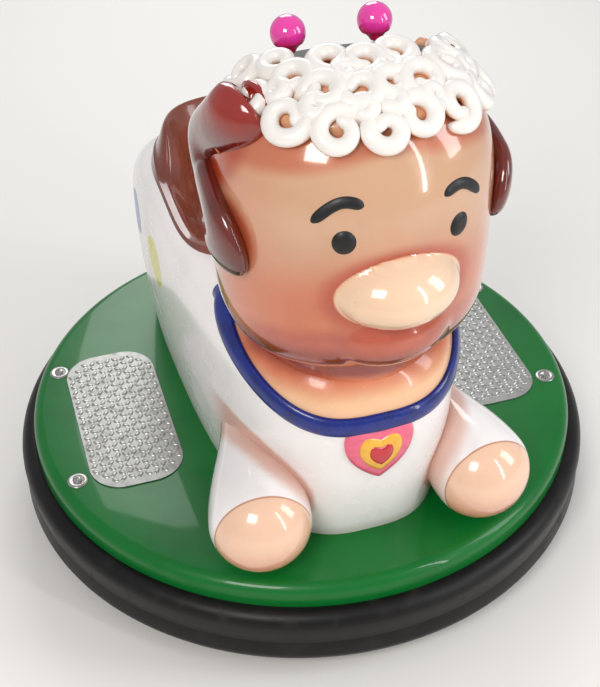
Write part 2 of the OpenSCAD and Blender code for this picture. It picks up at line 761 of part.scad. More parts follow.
module key_switch() {
    color("goldenrod") on_console() translate([key_at[0], key_at[1], 0]) {
        translate([0, 0, -15]) cylinder(h = 19, r = rotor_r);
        translate([-1.25, -5, 4]) cube([2.5, 10, 6]);
        translate([-1.25, 0, 16]) rotate([0, 90, 0]) difference() {
            cylinder(h = 2.5, r = 9);
            translate([-3, 0, -1]) cylinder(h = 5, r = 2);
        }
    }
}

module coin_slot() {
    color("silver") on_console() translate([coin_at[0], coin_at[1], 0]) difference() {
        union() {
            translate([-14, -22, 0]) cube([28, 44, 4]);
            translate([-6, -17, -40]) cube([12, 34, 40]);
        }
        translate([-1.8, -13.5, -41]) cube([3.6, 27, 50]);
    }
}

module speaker_grille() {
    color([0.15, 0.15, 0.15]) on_console() translate([speaker_at[0], speaker_at[1], 0]) difference() {
        union() {
            cylinder(h = 3, r = speaker_r);
            translate([0, 0, -16]) cylinder(h = 16, r = speaker_r - 4);
        }
        translate([0, 0, -13]) cylinder(h = 13.5, r = speaker_r - 6);
        for (x = [-2:2], y = [-2:2]) if (norm([x, y]) < 2.4)
            translate([6.5 * x, 6.5 * y, 0]) cylinder(h = 4, r = 2);
    }
}

// ---- battery and electronics ----

battery_y = 95;
tray_t = 4;

module battery_pack() {
    color([0.2, 0.2, 0.22]) for (s = [-1, 1]) translate([s * (battery_w / 2 + 2), battery_y, deck_z + tray_t]) {
        translate([-battery_w / 2, 0, 0]) cube([battery_w, battery_l, battery_h]);
        for (y = [14, battery_l - 14]) translate([0, y, battery_h]) cylinder(h = 7, r = 5);
    }
}

module battery_tray() {
    w = 2 * battery_w + 4 + 2 * gap;
    l = battery_l + 2 * gap;
    color("gray") translate([-w / 2 - 3, battery_y - gap - 3, deck_z]) difference() {
        cube([w + 6, l + 6, 28]);
        translate([3, 3, tray_t]) cube([w, l, 30]);
    }
}

module motor_controller() {
    color([0.1, 0.3, 0.6]) translate([-62, -190, deck_z]) {
        cube([124, 84, 30]);
        for (x = [8:18:116]) translate([x, 4, 30]) cube([5, 76, 10]);
    }
}

// ---- running gear ----

axle_z = tyre_d / 2;
gear_d = (gear_teeth + pinion_teeth) * gear_m / 2;
gear_tip = gear_teeth * gear_m / 2 + gear_m;
pinion_tip = pinion_teeth * gear_m / 2 + gear_m;
case_out = track_half - tyre_w / 2 - 24;
case_w = 50;
case_in = case_out - case_w;
case_t = 5;
bush_r = axle_d / 2 + 3.5;
motor_pin_r = 5;
hub_r = axle_z - 25;
plate_t = 6;

module handed(side) { mirror([side < 0 ? 1 : 0, 0, 0]) children(); }

module motor(side) {
    color([0.25, 0.25, 0.27]) handed(side) translate([case_in, -gear_d, axle_z]) difference() {
        union() {
            rod_x(-motor_l, 0, motor_d / 2);
            rod_x(-motor_l - 8, -motor_l, motor_d / 2 - 14);
        }
        rod_x(-16, 1, motor_pin_r + run_fit);
    }
}

module gearbox(side) {
    front = -gear_d - pinion_tip - 9;
    back = gear_tip + 9;
    low = axle_z - gear_tip - 8;
    color("silver") handed(side) difference() {
        union() {
            translate([case_in, front, low]) cube([case_w, back - front, frame_z - low]);
            translate([case_in, -cross_y - 18, frame_z - plate_t]) cube([case_w, 2 * cross_y + 36, plate_t]);
        }
        translate([case_in + case_t, front + case_t, low + case_t])
            cube([case_w - 2 * case_t, back - front - 2 * case_t, frame_z - low - 2 * case_t - 2]);
        translate([0, 0, axle_z]) rod_x(case_in - 1, case_out + 1, bush_r);
        translate([0, -gear_d, axle_z]) rod_x(case_in - 1, case_in + case_t + 1, motor_pin_r + 1);
    }
}

module axle_bushes() {
    color("peru") for (s = [-1, 1]) handed(s) translate([0, 0, axle_z]) for (x = [case_in, case_out - case_t])
        difference() {
            union() {
                rod_x(x, x + case_t, bush_r);
                rod_x(x == case_in ? x + case_t : x - 2.5, x == case_in ? x + case_t + 2.5 : x, bush_r + 3);
            }
            rod_x(x - 5, x + case_t + 5, axle_d / 2 + run_fit);
        }
}

module axle(side) {
    color("lightgray") handed(side) translate([0, 0, axle_z]) {
        rod_x(case_in - 4, track_half + tyre_w / 2 + 18, axle_d / 2);
        rod_x(case_out + gap, track_half - tyre_w / 2 - 2, 14);
        translate([track_half + tyre_w / 2 + 2, 0, 0]) rotate([0, 90, 0]) cylinder(h = 12, r = 14, $fn = 6);
    }
}

// Half-width of an involute tooth, in degrees, at a radius
function involute(a) = tan(a) * 180 / PI - a;
function tooth_half(n, r) = let (rp = n * gear_m / 2, rb = rp * cos(20))
    90 / n + involute(20) - involute(acos(min(1, rb / max(r, rb)))) - 0.12 * 180 / PI / rp;

module spur_gear(n, h) {
    rp = n * gear_m / 2;
    foot = rp - 1.25 * gear_m;
    tip = rp + 0.92 * gear_m;
    steps = [foot, rp * cos(20) + 0.15, rp, tip];
    linear_extrude(h) polygon([for (i = [0:n - 1]) each concat(
        [for (r = steps) let (a = 360 * i / n - tooth_half(n, r)) r * [cos(a), sin(a)]],
        [for (k = [3:-1:0]) let (r = steps[k], a = 360 * i / n + tooth_half(n, r)) r * [cos(a), sin(a)]])]);
}

// A gear on a cross axle: its first tooth points along the given turn, from +Y
module gear_x(x, y, n, h, turn) {
    translate([x, y, axle_z]) rotate([90, 0, 90]) rotate(turn) spur_gear(n, h);
}

gear_x0 = case_in + 18;

module axle_gear(side) {
    color("slategray") handed(side) difference() {
        gear_x(gear_x0, 0, gear_teeth, 14, 180);
        translate([0, 0, axle_z]) rod_x(gear_x0 - 1, gear_x0 + 20, axle_d / 2);
    }
}

module pinion(side) {
    color("lightslategray") handed(side) {
        gear_x(gear_x0 - 2, -gear_d, pinion_teeth, 18, 180 / pinion_teeth);
        translate([0, -gear_d, axle_z]) rod_x(case_in - 14, gear_x0 + 16, motor_pin_r);
    }
}

module wheel_hub(side) {
    color("lightgray") handed(side) translate([track_half, 0, axle_z]) difference() {
        union() {
            rod_x(-tyre_w / 2 + 1, tyre_w / 2 - 1, hub_r);
            rod_x(-tyre_w / 2 - 2, tyre_w / 2 + 2, 22);
        }
        for (x = [-tyre_w / 2, tyre_w / 2 - 12]) difference() {
            rod_x(x, x + 12, hub_r - 6);
            rod_x(x - 1, x + 13, 22);
        }
        rod_x(-40, 40, axle_d / 2);
        for (a = [0:72:359]) rotate([a, 0, 0]) translate([0, 33, 0]) rod_x(-20, 20, 6);
    }
}

module tyre(side) {
    h = tyre_w / 2;
    edge = 8;
    color([0.12, 0.12, 0.12]) handed(side) translate([track_half, 0, axle_z]) rotate([0, 90, 0])
        rotate_extrude($fn = 96) difference() {
            union() {
                translate([hub_r, -h]) square([axle_z - edge - hub_r, tyre_w]);
                translate([hub_r, -h + edge]) square([axle_z - hub_r, tyre_w - 2 * edge]);
                for (y = [-1, 1]) translate([axle_z - edge, y * (h - edge)]) circle(edge);
            }
            for (y = [-8, 0, 8]) translate([axle_z - 3, y - 1.5]) square([4, 3]);
        }
}

kingpin_r = 6;
crown_h = 16;
crown_z = frame_z - plate_t - gap - crown_h;
fork_gap = 16;
arm_t = 4;
pin_head = 6;

module caster_plates() {
    color("silver") for (s = [-1, 1]) translate([0, s * caster_y, 0]) {
        translate([-55, -46, frame_z - plate_t]) cube([110, 92, plate_t]);
        translate([0, 0, crown_z - gap - pin_head]) cylinder(h = pin_head + gap + crown_h + gap, r = kingpin_r);
        translate([0, 0, crown_z - gap - pin_head]) cylinder(h = pin_head, r = 10);
    }
}

module caster_fork(side) {
    color("silver") translate([0, side * caster_y, 0]) {
        difference() {
            union() {
                translate([0, 0, crown_z]) cylinder(h = crown_h, r = 24);
                for (s = [-1, 1]) translate([s > 0 ? fork_gap : -fork_gap - arm_t, 0, 0])
                    rotate([90, 0, 90]) linear_extrude(arm_t) {
                        polygon([[-14, crown_z + crown_h], [15, crown_z + crown_h], [caster_trail + 12,
                            caster_d / 2], [caster_trail - 12, caster_d / 2]]);
                        translate([caster_trail, caster_d / 2]) circle(12);
                    }
            }
            translate([0, 0, crown_z - 1]) cylinder(h = crown_h + 2, r = kingpin_r + run_fit);
        }
        translate([0, caster_trail, caster_d / 2]) {
            rod_x(-fork_gap - arm_t - 4, fork_gap + arm_t + 4, 4);
            for (x = [-fork_gap - arm_t - 4, fork_gap + arm_t]) rod_x(x, x + 4, 7);
        }
    }
}

module caster_wheel(side) {
    color([0.3, 0.3, 0.3]) translate([0, side * caster_y + caster_trail, caster_d / 2]) difference() {
        union() {
            rod_x(-13, 13, caster_d / 2 - 2);
            rod_x(-9, 9, caster_d / 2);
            rod_x(-fork_gap + gap, fork_gap - gap, 14);
        }
        for (x = [-14, 9]) difference() {
            rod_x(x, x + 5, caster_d / 2 - 14);
            rod_x(x - 1, x + 6, 14);
        }
        rod_x(-20, 20, 4 + run_fit);
    }
}

deck();
deck_core();
rim_band();
bumper_ring();
chassis_frame();
deck_bolts();
footplate(-1);  // footplate_left
footplate(1);  // footplate_right
body_shell();
neck_ring();
collar_band();
heart_pendant();
leg(-1);  // leg_left
leg(1);  // leg_right
seat_shell();
head_shell();
ear(-1);  // ear_left
ear(1);  // ear_right
fringe_curls();
console_panel();
lever_sockets();
lever(-1);  // lever_left
lever(1);  // lever_right
knob(-1);  // knob_left
knob(1);  // knob_right
start_bezel();
start_button();
key_barrel();
key_switch();
coin_slot();
speaker_grille();
battery_pack();
battery_tray();
motor_controller();
hatch_frame();
hatch_door();
hatch_knob();
charge_socket();
charge_cap();
motor(-1);  // motor_left
motor(1);  // motor_right
gearbox(-1);  // gearbox_left
gearbox(1);  // gearbox_right
axle_bushes();
pinion(-1);  // pinion_left
pinion(1);  // pinion_right
axle(-1);  // axle_left
axle(1);  // axle_right
axle_gear(-1);  // axle_gear_left
axle_gear(1);  // axle_gear_right
wheel_hub(-1);  // wheel_hub_left
wheel_hub(1);  // wheel_hub_right
tyre(-1);  // tyre_left
tyre(1);  // tyre_right
caster_plates();
caster_fork(-1);  // caster_fork_front
caster_fork(1);  // caster_fork_rear
caster_wheel(-1);  // caster_wheel_front
caster_wheel(1);  // caster_wheel_rear
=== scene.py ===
import json
import math

import bmesh
import bpy
from mathutils import Matrix, Vector

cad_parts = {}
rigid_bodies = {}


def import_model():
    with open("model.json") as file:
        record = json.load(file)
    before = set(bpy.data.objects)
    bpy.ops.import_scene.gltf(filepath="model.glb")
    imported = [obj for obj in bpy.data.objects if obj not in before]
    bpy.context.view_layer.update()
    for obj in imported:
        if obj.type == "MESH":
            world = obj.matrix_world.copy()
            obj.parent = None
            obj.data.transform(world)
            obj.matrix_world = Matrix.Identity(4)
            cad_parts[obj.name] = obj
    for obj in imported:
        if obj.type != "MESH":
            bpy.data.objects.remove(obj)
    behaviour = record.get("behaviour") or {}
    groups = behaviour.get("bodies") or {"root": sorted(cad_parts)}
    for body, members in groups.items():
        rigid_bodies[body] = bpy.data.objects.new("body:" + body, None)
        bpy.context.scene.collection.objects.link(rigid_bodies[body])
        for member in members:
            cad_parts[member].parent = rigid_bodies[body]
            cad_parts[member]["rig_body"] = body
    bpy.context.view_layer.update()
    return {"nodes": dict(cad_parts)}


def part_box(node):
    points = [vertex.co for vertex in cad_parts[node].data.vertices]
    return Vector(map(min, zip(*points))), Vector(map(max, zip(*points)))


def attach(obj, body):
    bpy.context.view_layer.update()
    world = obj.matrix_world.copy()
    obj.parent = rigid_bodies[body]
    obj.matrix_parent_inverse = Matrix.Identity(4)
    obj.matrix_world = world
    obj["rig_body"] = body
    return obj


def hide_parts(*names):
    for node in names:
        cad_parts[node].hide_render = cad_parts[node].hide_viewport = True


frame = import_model()

# Everything below is worked out in millimetres and made in metres
MM = 0.001
SIDES = ((-1, "left"), (1, "right"))


def box(node):
    low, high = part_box(node)
    return low / MM, high / MM


deck_top = box("footplate_left")[0].z
deck_r = box("deck")[1].x
bumper_low, bumper_high = box("bumper_ring")
bumper_hang, rim_r, screw_ring_r = 8.0, 500.0, 490.0


def mix(a, b, t):
    return a + (b - a) * t


def ease(t):
    t = max(0.0, min(1.0, t))
    return t * t * (3 - 2 * t)


def spow(v, p):
    """A power that keeps the sign."""
    return math.copysign(abs(v) ** p, v)


def soft_max(a, b, width):
    """The larger of two, blended where they are within width of each other."""
    h = max(width - abs(a - b), 0) / width
    return max(a, b) + h * h * width * 0.25


# ---------------------------------------------------------------- finishes


def paint(r, g, b):
    """A colour as the eye reads it, 0 to 255, made linear."""
    shares = (c / 255 for c in (r, g, b))
    return tuple(c / 12.92 if c < 10 / 255 else ((c + 0.055) / 1.055) ** 2.4 for c in shares) + (1.0,)


class Value:
    """A number that varies over a surface. Arithmetic on it adds Math nodes."""

    def __init__(self, finish, socket):
        self.finish, self.socket = finish, socket

    def math(self, operation, *others):
        node = self.finish.node("ShaderNodeMath", {"operation": operation}, (self, *others))
        return Value(self.finish, node.outputs[0])

    def flipped(self, operation, other):
        node = self.finish.node("ShaderNodeMath", {"operation": operation}, (other, self))
        return Value(self.finish, node.outputs[0])

    def __add__(self, other):
        return self.math("ADD", other)

    def __sub__(self, other):
        return self.math("SUBTRACT", other)

    def __rsub__(self, other):
        return self.flipped("SUBTRACT", other)

    def __mul__(self, other):
        return self.math("MULTIPLY", other)

    def __truediv__(self, other):
        return self.math("DIVIDE", other)

    def __rtruediv__(self, other):
        return self.flipped("DIVIDE", other)

    def __pow__(self, other):
        return self.math("POWER", other)

    def __neg__(self):
        return self.math("MULTIPLY", -1.0)

    def __abs__(self):
        return self.math("ABSOLUTE")

    __radd__ = __add__
    __rmul__ = __mul__

    def root(self):
        return self.math("SQRT")

    def least(self, other):
        return self.math("MINIMUM", other)

    def rise(self, low, high):
        """0 below low and 1 above high, with a soft step between; low may be the larger."""
        node = self.finish.node(
            "ShaderNodeMapRange",
            {"interpolation_type": "SMOOTHSTEP"},
            {"Value": self, "From Min": low, "From Max": high, "To Min": 0.0, "To Max": 1.0},
        )
        return Value(self.finish, node.outputs[0])


class Finish:
    """One paint, rubber or metal, with the helpers that its nodes are made by."""

    def __init__(self, name, colour, roughness, **constants):
        self.material = bpy.data.materials.new(name)
        self.material.use_nodes = True
        self.material.diffuse_color = colour
        self.nodes, self.links = self.material.node_tree.nodes, self.material.node_tree.links
        self.shader = next(n for n in self.nodes if n.type == "BSDF_PRINCIPLED")
        self.feed("Base Color", colour)
        self.feed("Roughness", roughness)
        for socket, value in constants.items():
            self.feed(socket.replace("_", " "), value)
        self.object_place = self.node("ShaderNodeTexCoord").outputs["Object"]
        axes = self.node("ShaderNodeSeparateXYZ", {}, (self.object_place,))
        self.x, self.y, self.z = (Value(self, axes.outputs[i]) * 1000.0 for i in range(3))

    def node(self, kind, settings=None, sockets=()):
        made = self.nodes.new(kind)
        for name, value in (settings or {}).items():
            setattr(made, name, value)
        items = sockets.items() if isinstance(sockets, dict) else enumerate(sockets)
        for name, value in items:
            self.join(value, made.inputs[name])
        return made

    def join(self, value, socket):
        if isinstance(value, Value):
            value = value.socket
        if isinstance(value, bpy.types.NodeSocket):
            self.links.new(value, socket)
        else:
            socket.default_value = value

    def feed(self, name, value):
        self.join(value, self.shader.inputs[name])

    def noise(self, size, detail=2.0, stretch=(1, 1, 1), distortion=0.0):
        """Cloudy variation from 0 to 1, whose patches are about size millimetres across."""
        place = self.node("ShaderNodeMapping", {}, {"Vector": self.object_place, "Scale": stretch})
        node = self.node(
            "ShaderNodeTexNoise",
            {},
            {"Vector": place.outputs[0], "Scale": 1000.0 / size, "Detail": detail, "Distortion": distortion},
        )
        return Value(self, node.outputs[0])

    def cells(self, size, feature="F1"):
        """Distance from the middle of the nearest of many cells, about size millimetres across."""
        node = self.node(
            "ShaderNodeTexVoronoi", {"feature": feature}, {"Vector": self.object_place, "Scale": 1000.0 / size}
        )
        return Value(self, node.outputs[0])

    def attribute(self, name):
        return Value(self, self.node("ShaderNodeAttribute", {"attribute_name": name}).outputs["Fac"])

    def blend(self, first, second, mask):
        """The first colour where mask is 0 and the second where it is 1."""
        node = self.node("ShaderNodeMix", {"data_type": "RGBA", "clamp_factor": True})
        for socket, value in ((0, mask), (6, first), (7, second)):
            self.join(value, node.inputs[socket])
        return node.outputs[2]

    def ball(self, centre, half):
        """Distance from a centre, in half-sizes: 1 on the skin of an egg of that size."""
        parts = [((axis - c) / h) ** 2.0 for axis, c, h in zip((self.x, self.y, self.z), centre, half)]
        return (parts[0] + parts[1] + parts[2]).root()

    def relief(self, height, distance, strength=1.0):
        """Raises the surface by height, of distance millimetres at 1."""
        bump = self.node("ShaderNodeBump", {}, {"Strength": strength, "Distance": distance * MM, "Height": height})
        self.feed("Normal", bump.outputs[0])

    def worn(self, colour, darker=0.82, size=70.0):
        """A colour with faint cloudy depth, as hand-sprayed gelcoat and aged paint have."""
        shade = tuple(c * darker for c in colour[:3]) + (1.0,)
        return self.blend(colour, shade, self.noise(size, 4).rise(0.42, 0.75))


def gelcoat(name, colour, roughness=0.2, coat=0.85):
    """Sprayed gelcoat: a glossy clear skin, a faint ripple in it and hairline scuffs."""
    f = Finish(name, colour, roughness, Coat_Roughness=0.045, Specular_IOR_Level=0.5)
    ripple = f.noise(26, 2)
    peel = f.noise(3.2, 2)
    f.relief(ripple * 0.75 + peel * 0.1, 0.9, 0.35)
    scuff = f.noise(120, 6, distortion=0.6).rise(0.56, 0.78)
    f.feed("Roughness", roughness + scuff * 0.16 + f.noise(9, 3) * 0.05)
    f.feed("Coat Weight", coat - scuff * 0.3)
    return f


def plain_gelcoat(name, colour, **more):
    f = gelcoat(name, colour, **more)
    f.feed("Base Color", f.worn(colour, 0.88))
    return f


def moulded_plastic(name, colour, roughness=0.42, grain=0.9):
    """Injection-moulded plastic with a spark-eroded grain and rubbed high spots."""
    f = Finish(name, colour, roughness, Specular_IOR_Level=0.5)
    f.relief(f.cells(grain, "SMOOTH_F1") + f.noise(grain * 3, 2) * 0.5, 0.18, 0.5)
    rubbed = f.noise(24, 5).rise(0.66, 0.9)
    f.feed("Base Color", f.blend(f.worn(colour, 0.8, 30), paint(150, 148, 145), rubbed * 0.1))
    f.feed("Roughness", roughness + f.noise(18, 4) * 0.14 - 0.07)
    return f


def rubber(name, colour, roughness=0.62, grain=1.6):
    """Moulded rubber with a fine nib, and pale dust that has settled unevenly."""
    f = Finish(name, colour, roughness, Specular_IOR_Level=0.4)
    pale_patches = f.noise(46, 6, distortion=0.4).rise(0.5, 0.82)
    f.feed("Base Color", f.blend(f.worn(colour, 0.7, 40), paint(120, 112, 104), pale_patches * 0.08))
    f.feed("Roughness", roughness + pale_patches * 0.2 - 0.05)
    f.relief(f.noise(grain, 3) + f.noise(14, 2) * 0.6, 0.25, 0.5)
    return f


def metal(name, colour, roughness, brushed=None, stain=paint(110, 104, 98), pits=0.25):
    """Bare or plated metal, brushed along one way where brushed gives the stretch, and stained in patches."""
    f = Finish(name, colour, roughness, Metallic=1.0)
    grain = f.noise(2.2, 4, stretch=brushed or (1, 1, 1))
    patch = f.noise(22, 5).rise(0.5, 0.8)
    f.feed("Base Color", f.blend(f.worn(colour, 0.78, 16), stain, patch * pits))
    f.feed("Roughness", roughness + grain * 0.16 + patch * 0.14 - 0.1)
    f.relief(grain, 0.06, 0.35)
    return f


def powder_coat(name, colour, roughness=0.45):
    """Baked powder paint: an even pebbled skin with chips of primer at rubbed places."""
    f = Finish(name, colour, roughness, Specular_IOR_Level=0.5)
    chips = f.noise(16, 6).rise(0.7, 0.76)
    f.feed("Base Color", f.blend(f.worn(colour, 0.8, 50), paint(128, 104, 88), chips * 0.55))
    f.relief(f.cells(1.4, "SMOOTH_F1"), 0.16, 0.5)
    f.feed("Roughness", roughness + f.noise(10, 3) * 0.12)
    return f


# ---------------------------------------------------------------- pieces


def flesh_out(name, bm, finish, body="root", slot=None, replaces=(), sharp=38, shell=0.0, rounds=0):
    """Makes the object of a bmesh: closes its seams, shades it, gives it its finish and hides the pieces that it
    replaces.
    """
    bmesh.ops.remove_doubles(bm, verts=bm.verts, dist=2e-6)
    bmesh.ops.recalc_face_normals(bm, faces=bm.faces)
    mesh = bpy.data.meshes.new(name)
    bm.to_mesh(mesh)
    bm.free()
    mesh.polygons.foreach_set("use_smooth", [True] * len(mesh.polygons))
    if sharp:
        mesh.set_sharp_from_angle(angle=math.radians(sharp))
    piece = bpy.data.objects.new(name, mesh)
    bpy.context.scene.collection.objects.link(piece)
    mesh.materials.append(finish.material)
    if shell:
        wall = piece.modifiers.new("wall", "SOLIDIFY")
        wall.thickness, wall.offset, wall.use_even_offset = shell * MM, -1, True
    if rounds:
        skin = piece.modifiers.new("skin", "SUBSURF")
        skin.levels = skin.render_levels = rounds
    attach(piece, body)
    if replaces:
        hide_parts(*replaces)
    return piece


def sheet_of(cols, rows, place):
    """A skin of cols by rows faces, laid out by place(u, v) with u and v from 0 to 1."""
    bm = bmesh.new()
    made = bmesh.ops.create_grid(bm, x_segments=cols, y_segments=rows, size=0.5)
    for v in made["verts"]:
        v.co = place(v.co.x + 0.5, v.co.y + 0.5) * MM
    return bm


def ball_of(cuts, place):
    """A closed skin of even square faces, laid out by place(direction)."""
    bm = bmesh.new()
    bmesh.ops.create_cube(bm, size=2)
    bmesh.ops.subdivide_edges(bm, edges=bm.edges[:], cuts=cuts, use_grid_fill=True)
    for v in bm.verts:
        v.co = place(Vector([math.tan(c * 0.7854) for c in v.co]).normalized()) * MM
    return bm


def turned(profile, steps, centre=(0, 0, 0), bm=None, turn=None):
    """A profile of (radius, height) points spun round an upright axis."""
    bm = bm or bmesh.new()
    verts = [bm.verts.new((r * MM, 0, z * MM)) for r, z in profile]
    edges = [bm.edges.new(pair) for pair in zip(verts, verts[1:])]
    bmesh.ops.spin(
        bm, geom=verts + edges, cent=(0, 0, 0), axis=(0, 0, 1), angle=math.tau, steps=steps, use_merge=True
    )
    new = [v for v in bm.verts if v.tag is False]
    bmesh.ops.transform(bm, matrix=Matrix.Translation(Vector(centre) * MM) @ (turn or Matrix()), verts=new)
    for v in bm.verts:
        v.tag = True
    return bm


def rope(path, thick, sides, side, bm=None, wide=None, lift=None):
    """A rope through the points of path, whose section has sides corners.

    thick(i) and wide(i) are its half-sizes at a point and side(i) is the way that wide points.
    lift(i, c) gives the depth that its paint reads, c from -1 to 1 across the rope.
    """
    bm = bm or bmesh.new()
    layer = bm.verts.layers.float.get("depth") or bm.verts.layers.float.new("depth")
    rings, n = [], len(path)
    for i, p in enumerate(path):
        along = (path[min(i + 1, n - 1)] - path[max(i - 1, 0)]).normalized()
        across = side(i)
        across = (across - along * along.dot(across)).normalized()
        made = bmesh.ops.create_circle(bm, segments=sides, radius=1)["verts"]
        a, b = (wide or thick)(i), thick(i)
        turn = Matrix((across * a, along.cross(across) * b, along)).transposed().to_4x4()
        for v in made:
            v[layer] = lift(i, v.co.x) if lift else 0.0
        bmesh.ops.transform(bm, matrix=Matrix.Scale(MM, 4) @ Matrix.Translation(p) @ turn, verts=made)
        rings.append(made)
    for first, second in zip(rings, rings[1:]):
        for k in range(sides):
            bm.faces.new((first[k], first[(k + 1) % sides], second[(k + 1) % sides], second[k]))
    for ring, tip in ((rings[0], path[0]), (rings[-1], path[-1])):
        mid = bm.verts.new(tip * MM)
        mid[layer] = sum(v[layer] for v in ring) / sides
        for k in range(sides):
            bm.faces.new((ring[k], ring[(k + 1) % sides], mid))
    return bm


def block(low, high):
    bm = bmesh.new()
    low, high = Vector(low), Vector(high)
    made = bmesh.ops.create_cube(bm, size=1)["verts"]
    place = Matrix.Translation((low + high) / 2) @ Matrix.Diagonal((*(high - low), 1))
    bmesh.ops.transform(bm, matrix=Matrix.Scale(MM, 4) @ place, verts=made)
    return bm


def cut(piece, bm):
    """Takes the solid in bm out of a piece for good."""
    mesh = bpy.data.meshes.new("cutter")
    bmesh.ops.recalc_face_normals(bm, faces=bm.faces)
    bm.to_mesh(mesh)
    bm.free()
    cutter = bpy.data.objects.new("cutter", mesh)
    bpy.context.scene.collection.objects.link(cutter)
    tool = piece.modifiers.new("cut", "BOOLEAN")
    tool.operation, tool.solver, tool.object = "DIFFERENCE", "EXACT", cutter
    left = bpy.data.meshes.new_from_object(piece.evaluated_get(bpy.context.evaluated_depsgraph_get()))
    piece.modifiers.clear()
    old, piece.data = piece.data, left
    left.name = piece.name
    bpy.data.meshes.remove(old)
    bpy.data.objects.remove(cutter)
    left.polygons.foreach_set("use_smooth", [True] * len(left.polygons))
    left.set_sharp_from_angle(angle=math.radians(38))


# ---------------------------------------------------------------- shapes of the animal

body_w, chest, tail = 458.0, 412.0, 450.0
body_h, belly, wide_y = 405.0, 0.075, 200.0
shoulder, crown_n = 250.0, 4.2
seat_w, seat_l, seat_y, seat_n = 416.0, 500.0, 150.0, 3.6
seat_drop, back_rise = 105.0, 76.0
head_half = Vector((213.0, 200.0, 223.0))
head_at = Vector((0.0, -284.0, deck_top + body_h + head_half.z))
jaw_n, jaw_h, neck_drop = 5.5, head_half.z * 1.05, 0.95
face_turn = 3.5
snout_at, snout_half = Vector((0, -174, -61)), Vector((95, 83, 61))
chin_at, chin_half = Vector((0, -158, -150)), Vector((96, 62, 62))
face_spin = Matrix.Rotation(math.radians(face_turn), 3, "Z")
collar_low, collar_slope, collar_ends = 282.0, 0.37, (-64, 57)
collar_start = chest * 1.07
console_at = Vector((0, -212, 1003))
console_front, console_tilt = console_at.y - 88, math.radians(-16)
console_turn = Matrix.Translation(console_at) @ Matrix.Rotation(console_tilt, 4, "X")


def plan(t):
    """The body's outline at the deck, t round from the chest."""
    c, s = math.cos(t), math.sin(t)
    ahead = c > 0
    length, n = (chest + wide_y, 3) if ahead else (tail - wide_y, 3.5)
    f = abs(c) ** (2 / n)
    return Vector(
        (body_w / 2 * spow(s, 2 / n) * (1 - 0.07 * f if ahead else 1), wide_y + (-length if ahead else length) * f, 0)
    )


def swell_at(z):
    if z < shoulder:
        return 1 + belly * math.sin(math.pi / 2 * z / shoulder)
    return (1 + belly) * (1 - min(1, (z - shoulder) / (body_h - shoulder)) ** crown_n) ** (1 / crown_n)


def swell_rise(u, split=0.36):
    """Swell of the plan and height above the deck, u from the deck up to the crown."""
    if u < split:
        return 1 + belly * math.sin(math.pi / 2 * u / split), shoulder * u / split
    a = math.pi / 2 * (u - split) / (1 - split)
    swell, rise = math.cos(a) ** (2 / crown_n), math.sin(a) ** (2 / crown_n)
    return (1 + belly) * swell, shoulder + (body_h - shoulder) * rise


def plan_turn(p):
    """The t of plan(t) that points the same way as p does."""
    a, low, high = math.atan2(abs(p.x), -p.y), 0.0, math.pi
    for _ in range(26):
        mid = (low + high) / 2
        q = plan(mid)
        low, high = (mid, high) if math.atan2(q.x, -q.y) < a else (low, mid)
    return math.copysign((low + high) / 2, p.x)


def body_top(p):
    """Height of the body's crown above the deck, over p."""
    k = p.to_2d().length / max(plan(plan_turn(p)).length, 1) / (1 + belly)
    return shoulder + (body_h - shoulder) * max(0.0, 1 - min(k, 0.9999) ** crown_n) ** (1 / crown_n)


def body_point(t, z):
    p = plan(t) * swell_at(z)
    return Vector((p.x, p.y, deck_top + z))


def skin_out(t, z):
    """The way that the body's skin faces."""
    d = 0.02
    along = body_point(t + d, z) - body_point(t - d, z)
    up = body_point(t, z + 3) - body_point(t, z - 3)
    return along.cross(up).normalized()


def seat_edge(t, k=1.0):
    """The seat's outline, t round from its front, k of the way out from its middle."""
    across, ahead = spow(math.sin(t), 2 / seat_n), spow(math.cos(t), 2 / seat_n)
    return Vector((seat_w / 2 * across * k, seat_y - seat_l / 2 * ahead * k, 0))


def aim(turn, tilt):
    """The direction turn degrees round from straight ahead and tilt degrees up."""
    a, b = math.radians(turn), math.radians(tilt)
    return Vector((math.sin(a) * math.cos(b), -math.cos(a) * math.cos(b), math.sin(b)))


def head_r(d):
    """How far the plain head reaches along d."""
    flat = ((abs(d.x) / head_half.x) ** 2.2 + (abs(d.y) / head_half.y) ** 2.2) ** (1 / 2.2)
    n, h = (jaw_n, jaw_h) if d.z < 0 else (2.7, head_half.z)
    return (flat**n + (abs(d.z) / h) ** n) ** (-1 / n)


def bump_r(d, centre, half):
    """How far an egg at centre reaches along d, or 0 where d misses it."""
    q = Vector([a / b for a, b in zip(d, half)])
    p = Vector([a / b for a, b in zip(centre, half)])
    b = q.dot(p)
    disc = b * b - q.dot(q) * (p.dot(p) - 1)
    return 0.0 if disc < 0 or b < 0 else (b + math.sqrt(disc)) / q.dot(q)


def face_r(d):
    """How far the head with its chin and snout reaches along d."""
    f = d @ face_spin
    return soft_max(soft_max(head_r(d), bump_r(f, chin_at, chin_half), 10), bump_r(f, snout_at, snout_half), 8)


def on_head(turn, tilt, out=0.0, face=False):
    d = aim(turn, tilt)
    return head_at + d * ((face_r(d) if face else head_r(d)) + out)


# ---------------------------------------------------------------- paints of the animal

WHITE = paint(244, 240, 238)
TAN, CLAY = paint(206, 162, 128), paint(198, 106, 68)


def leg_axis(side):
    return Vector((side * body_w * 0.34, -190, deck_top + 120)), Vector((side * body_w * 0.467, -500, deck_top + 82))


def collar_line(f):
    """Height above the collar's middle line, on the body."""
    return f.z - (deck_top + collar_low + collar_slope * collar_start) - f.y * collar_slope


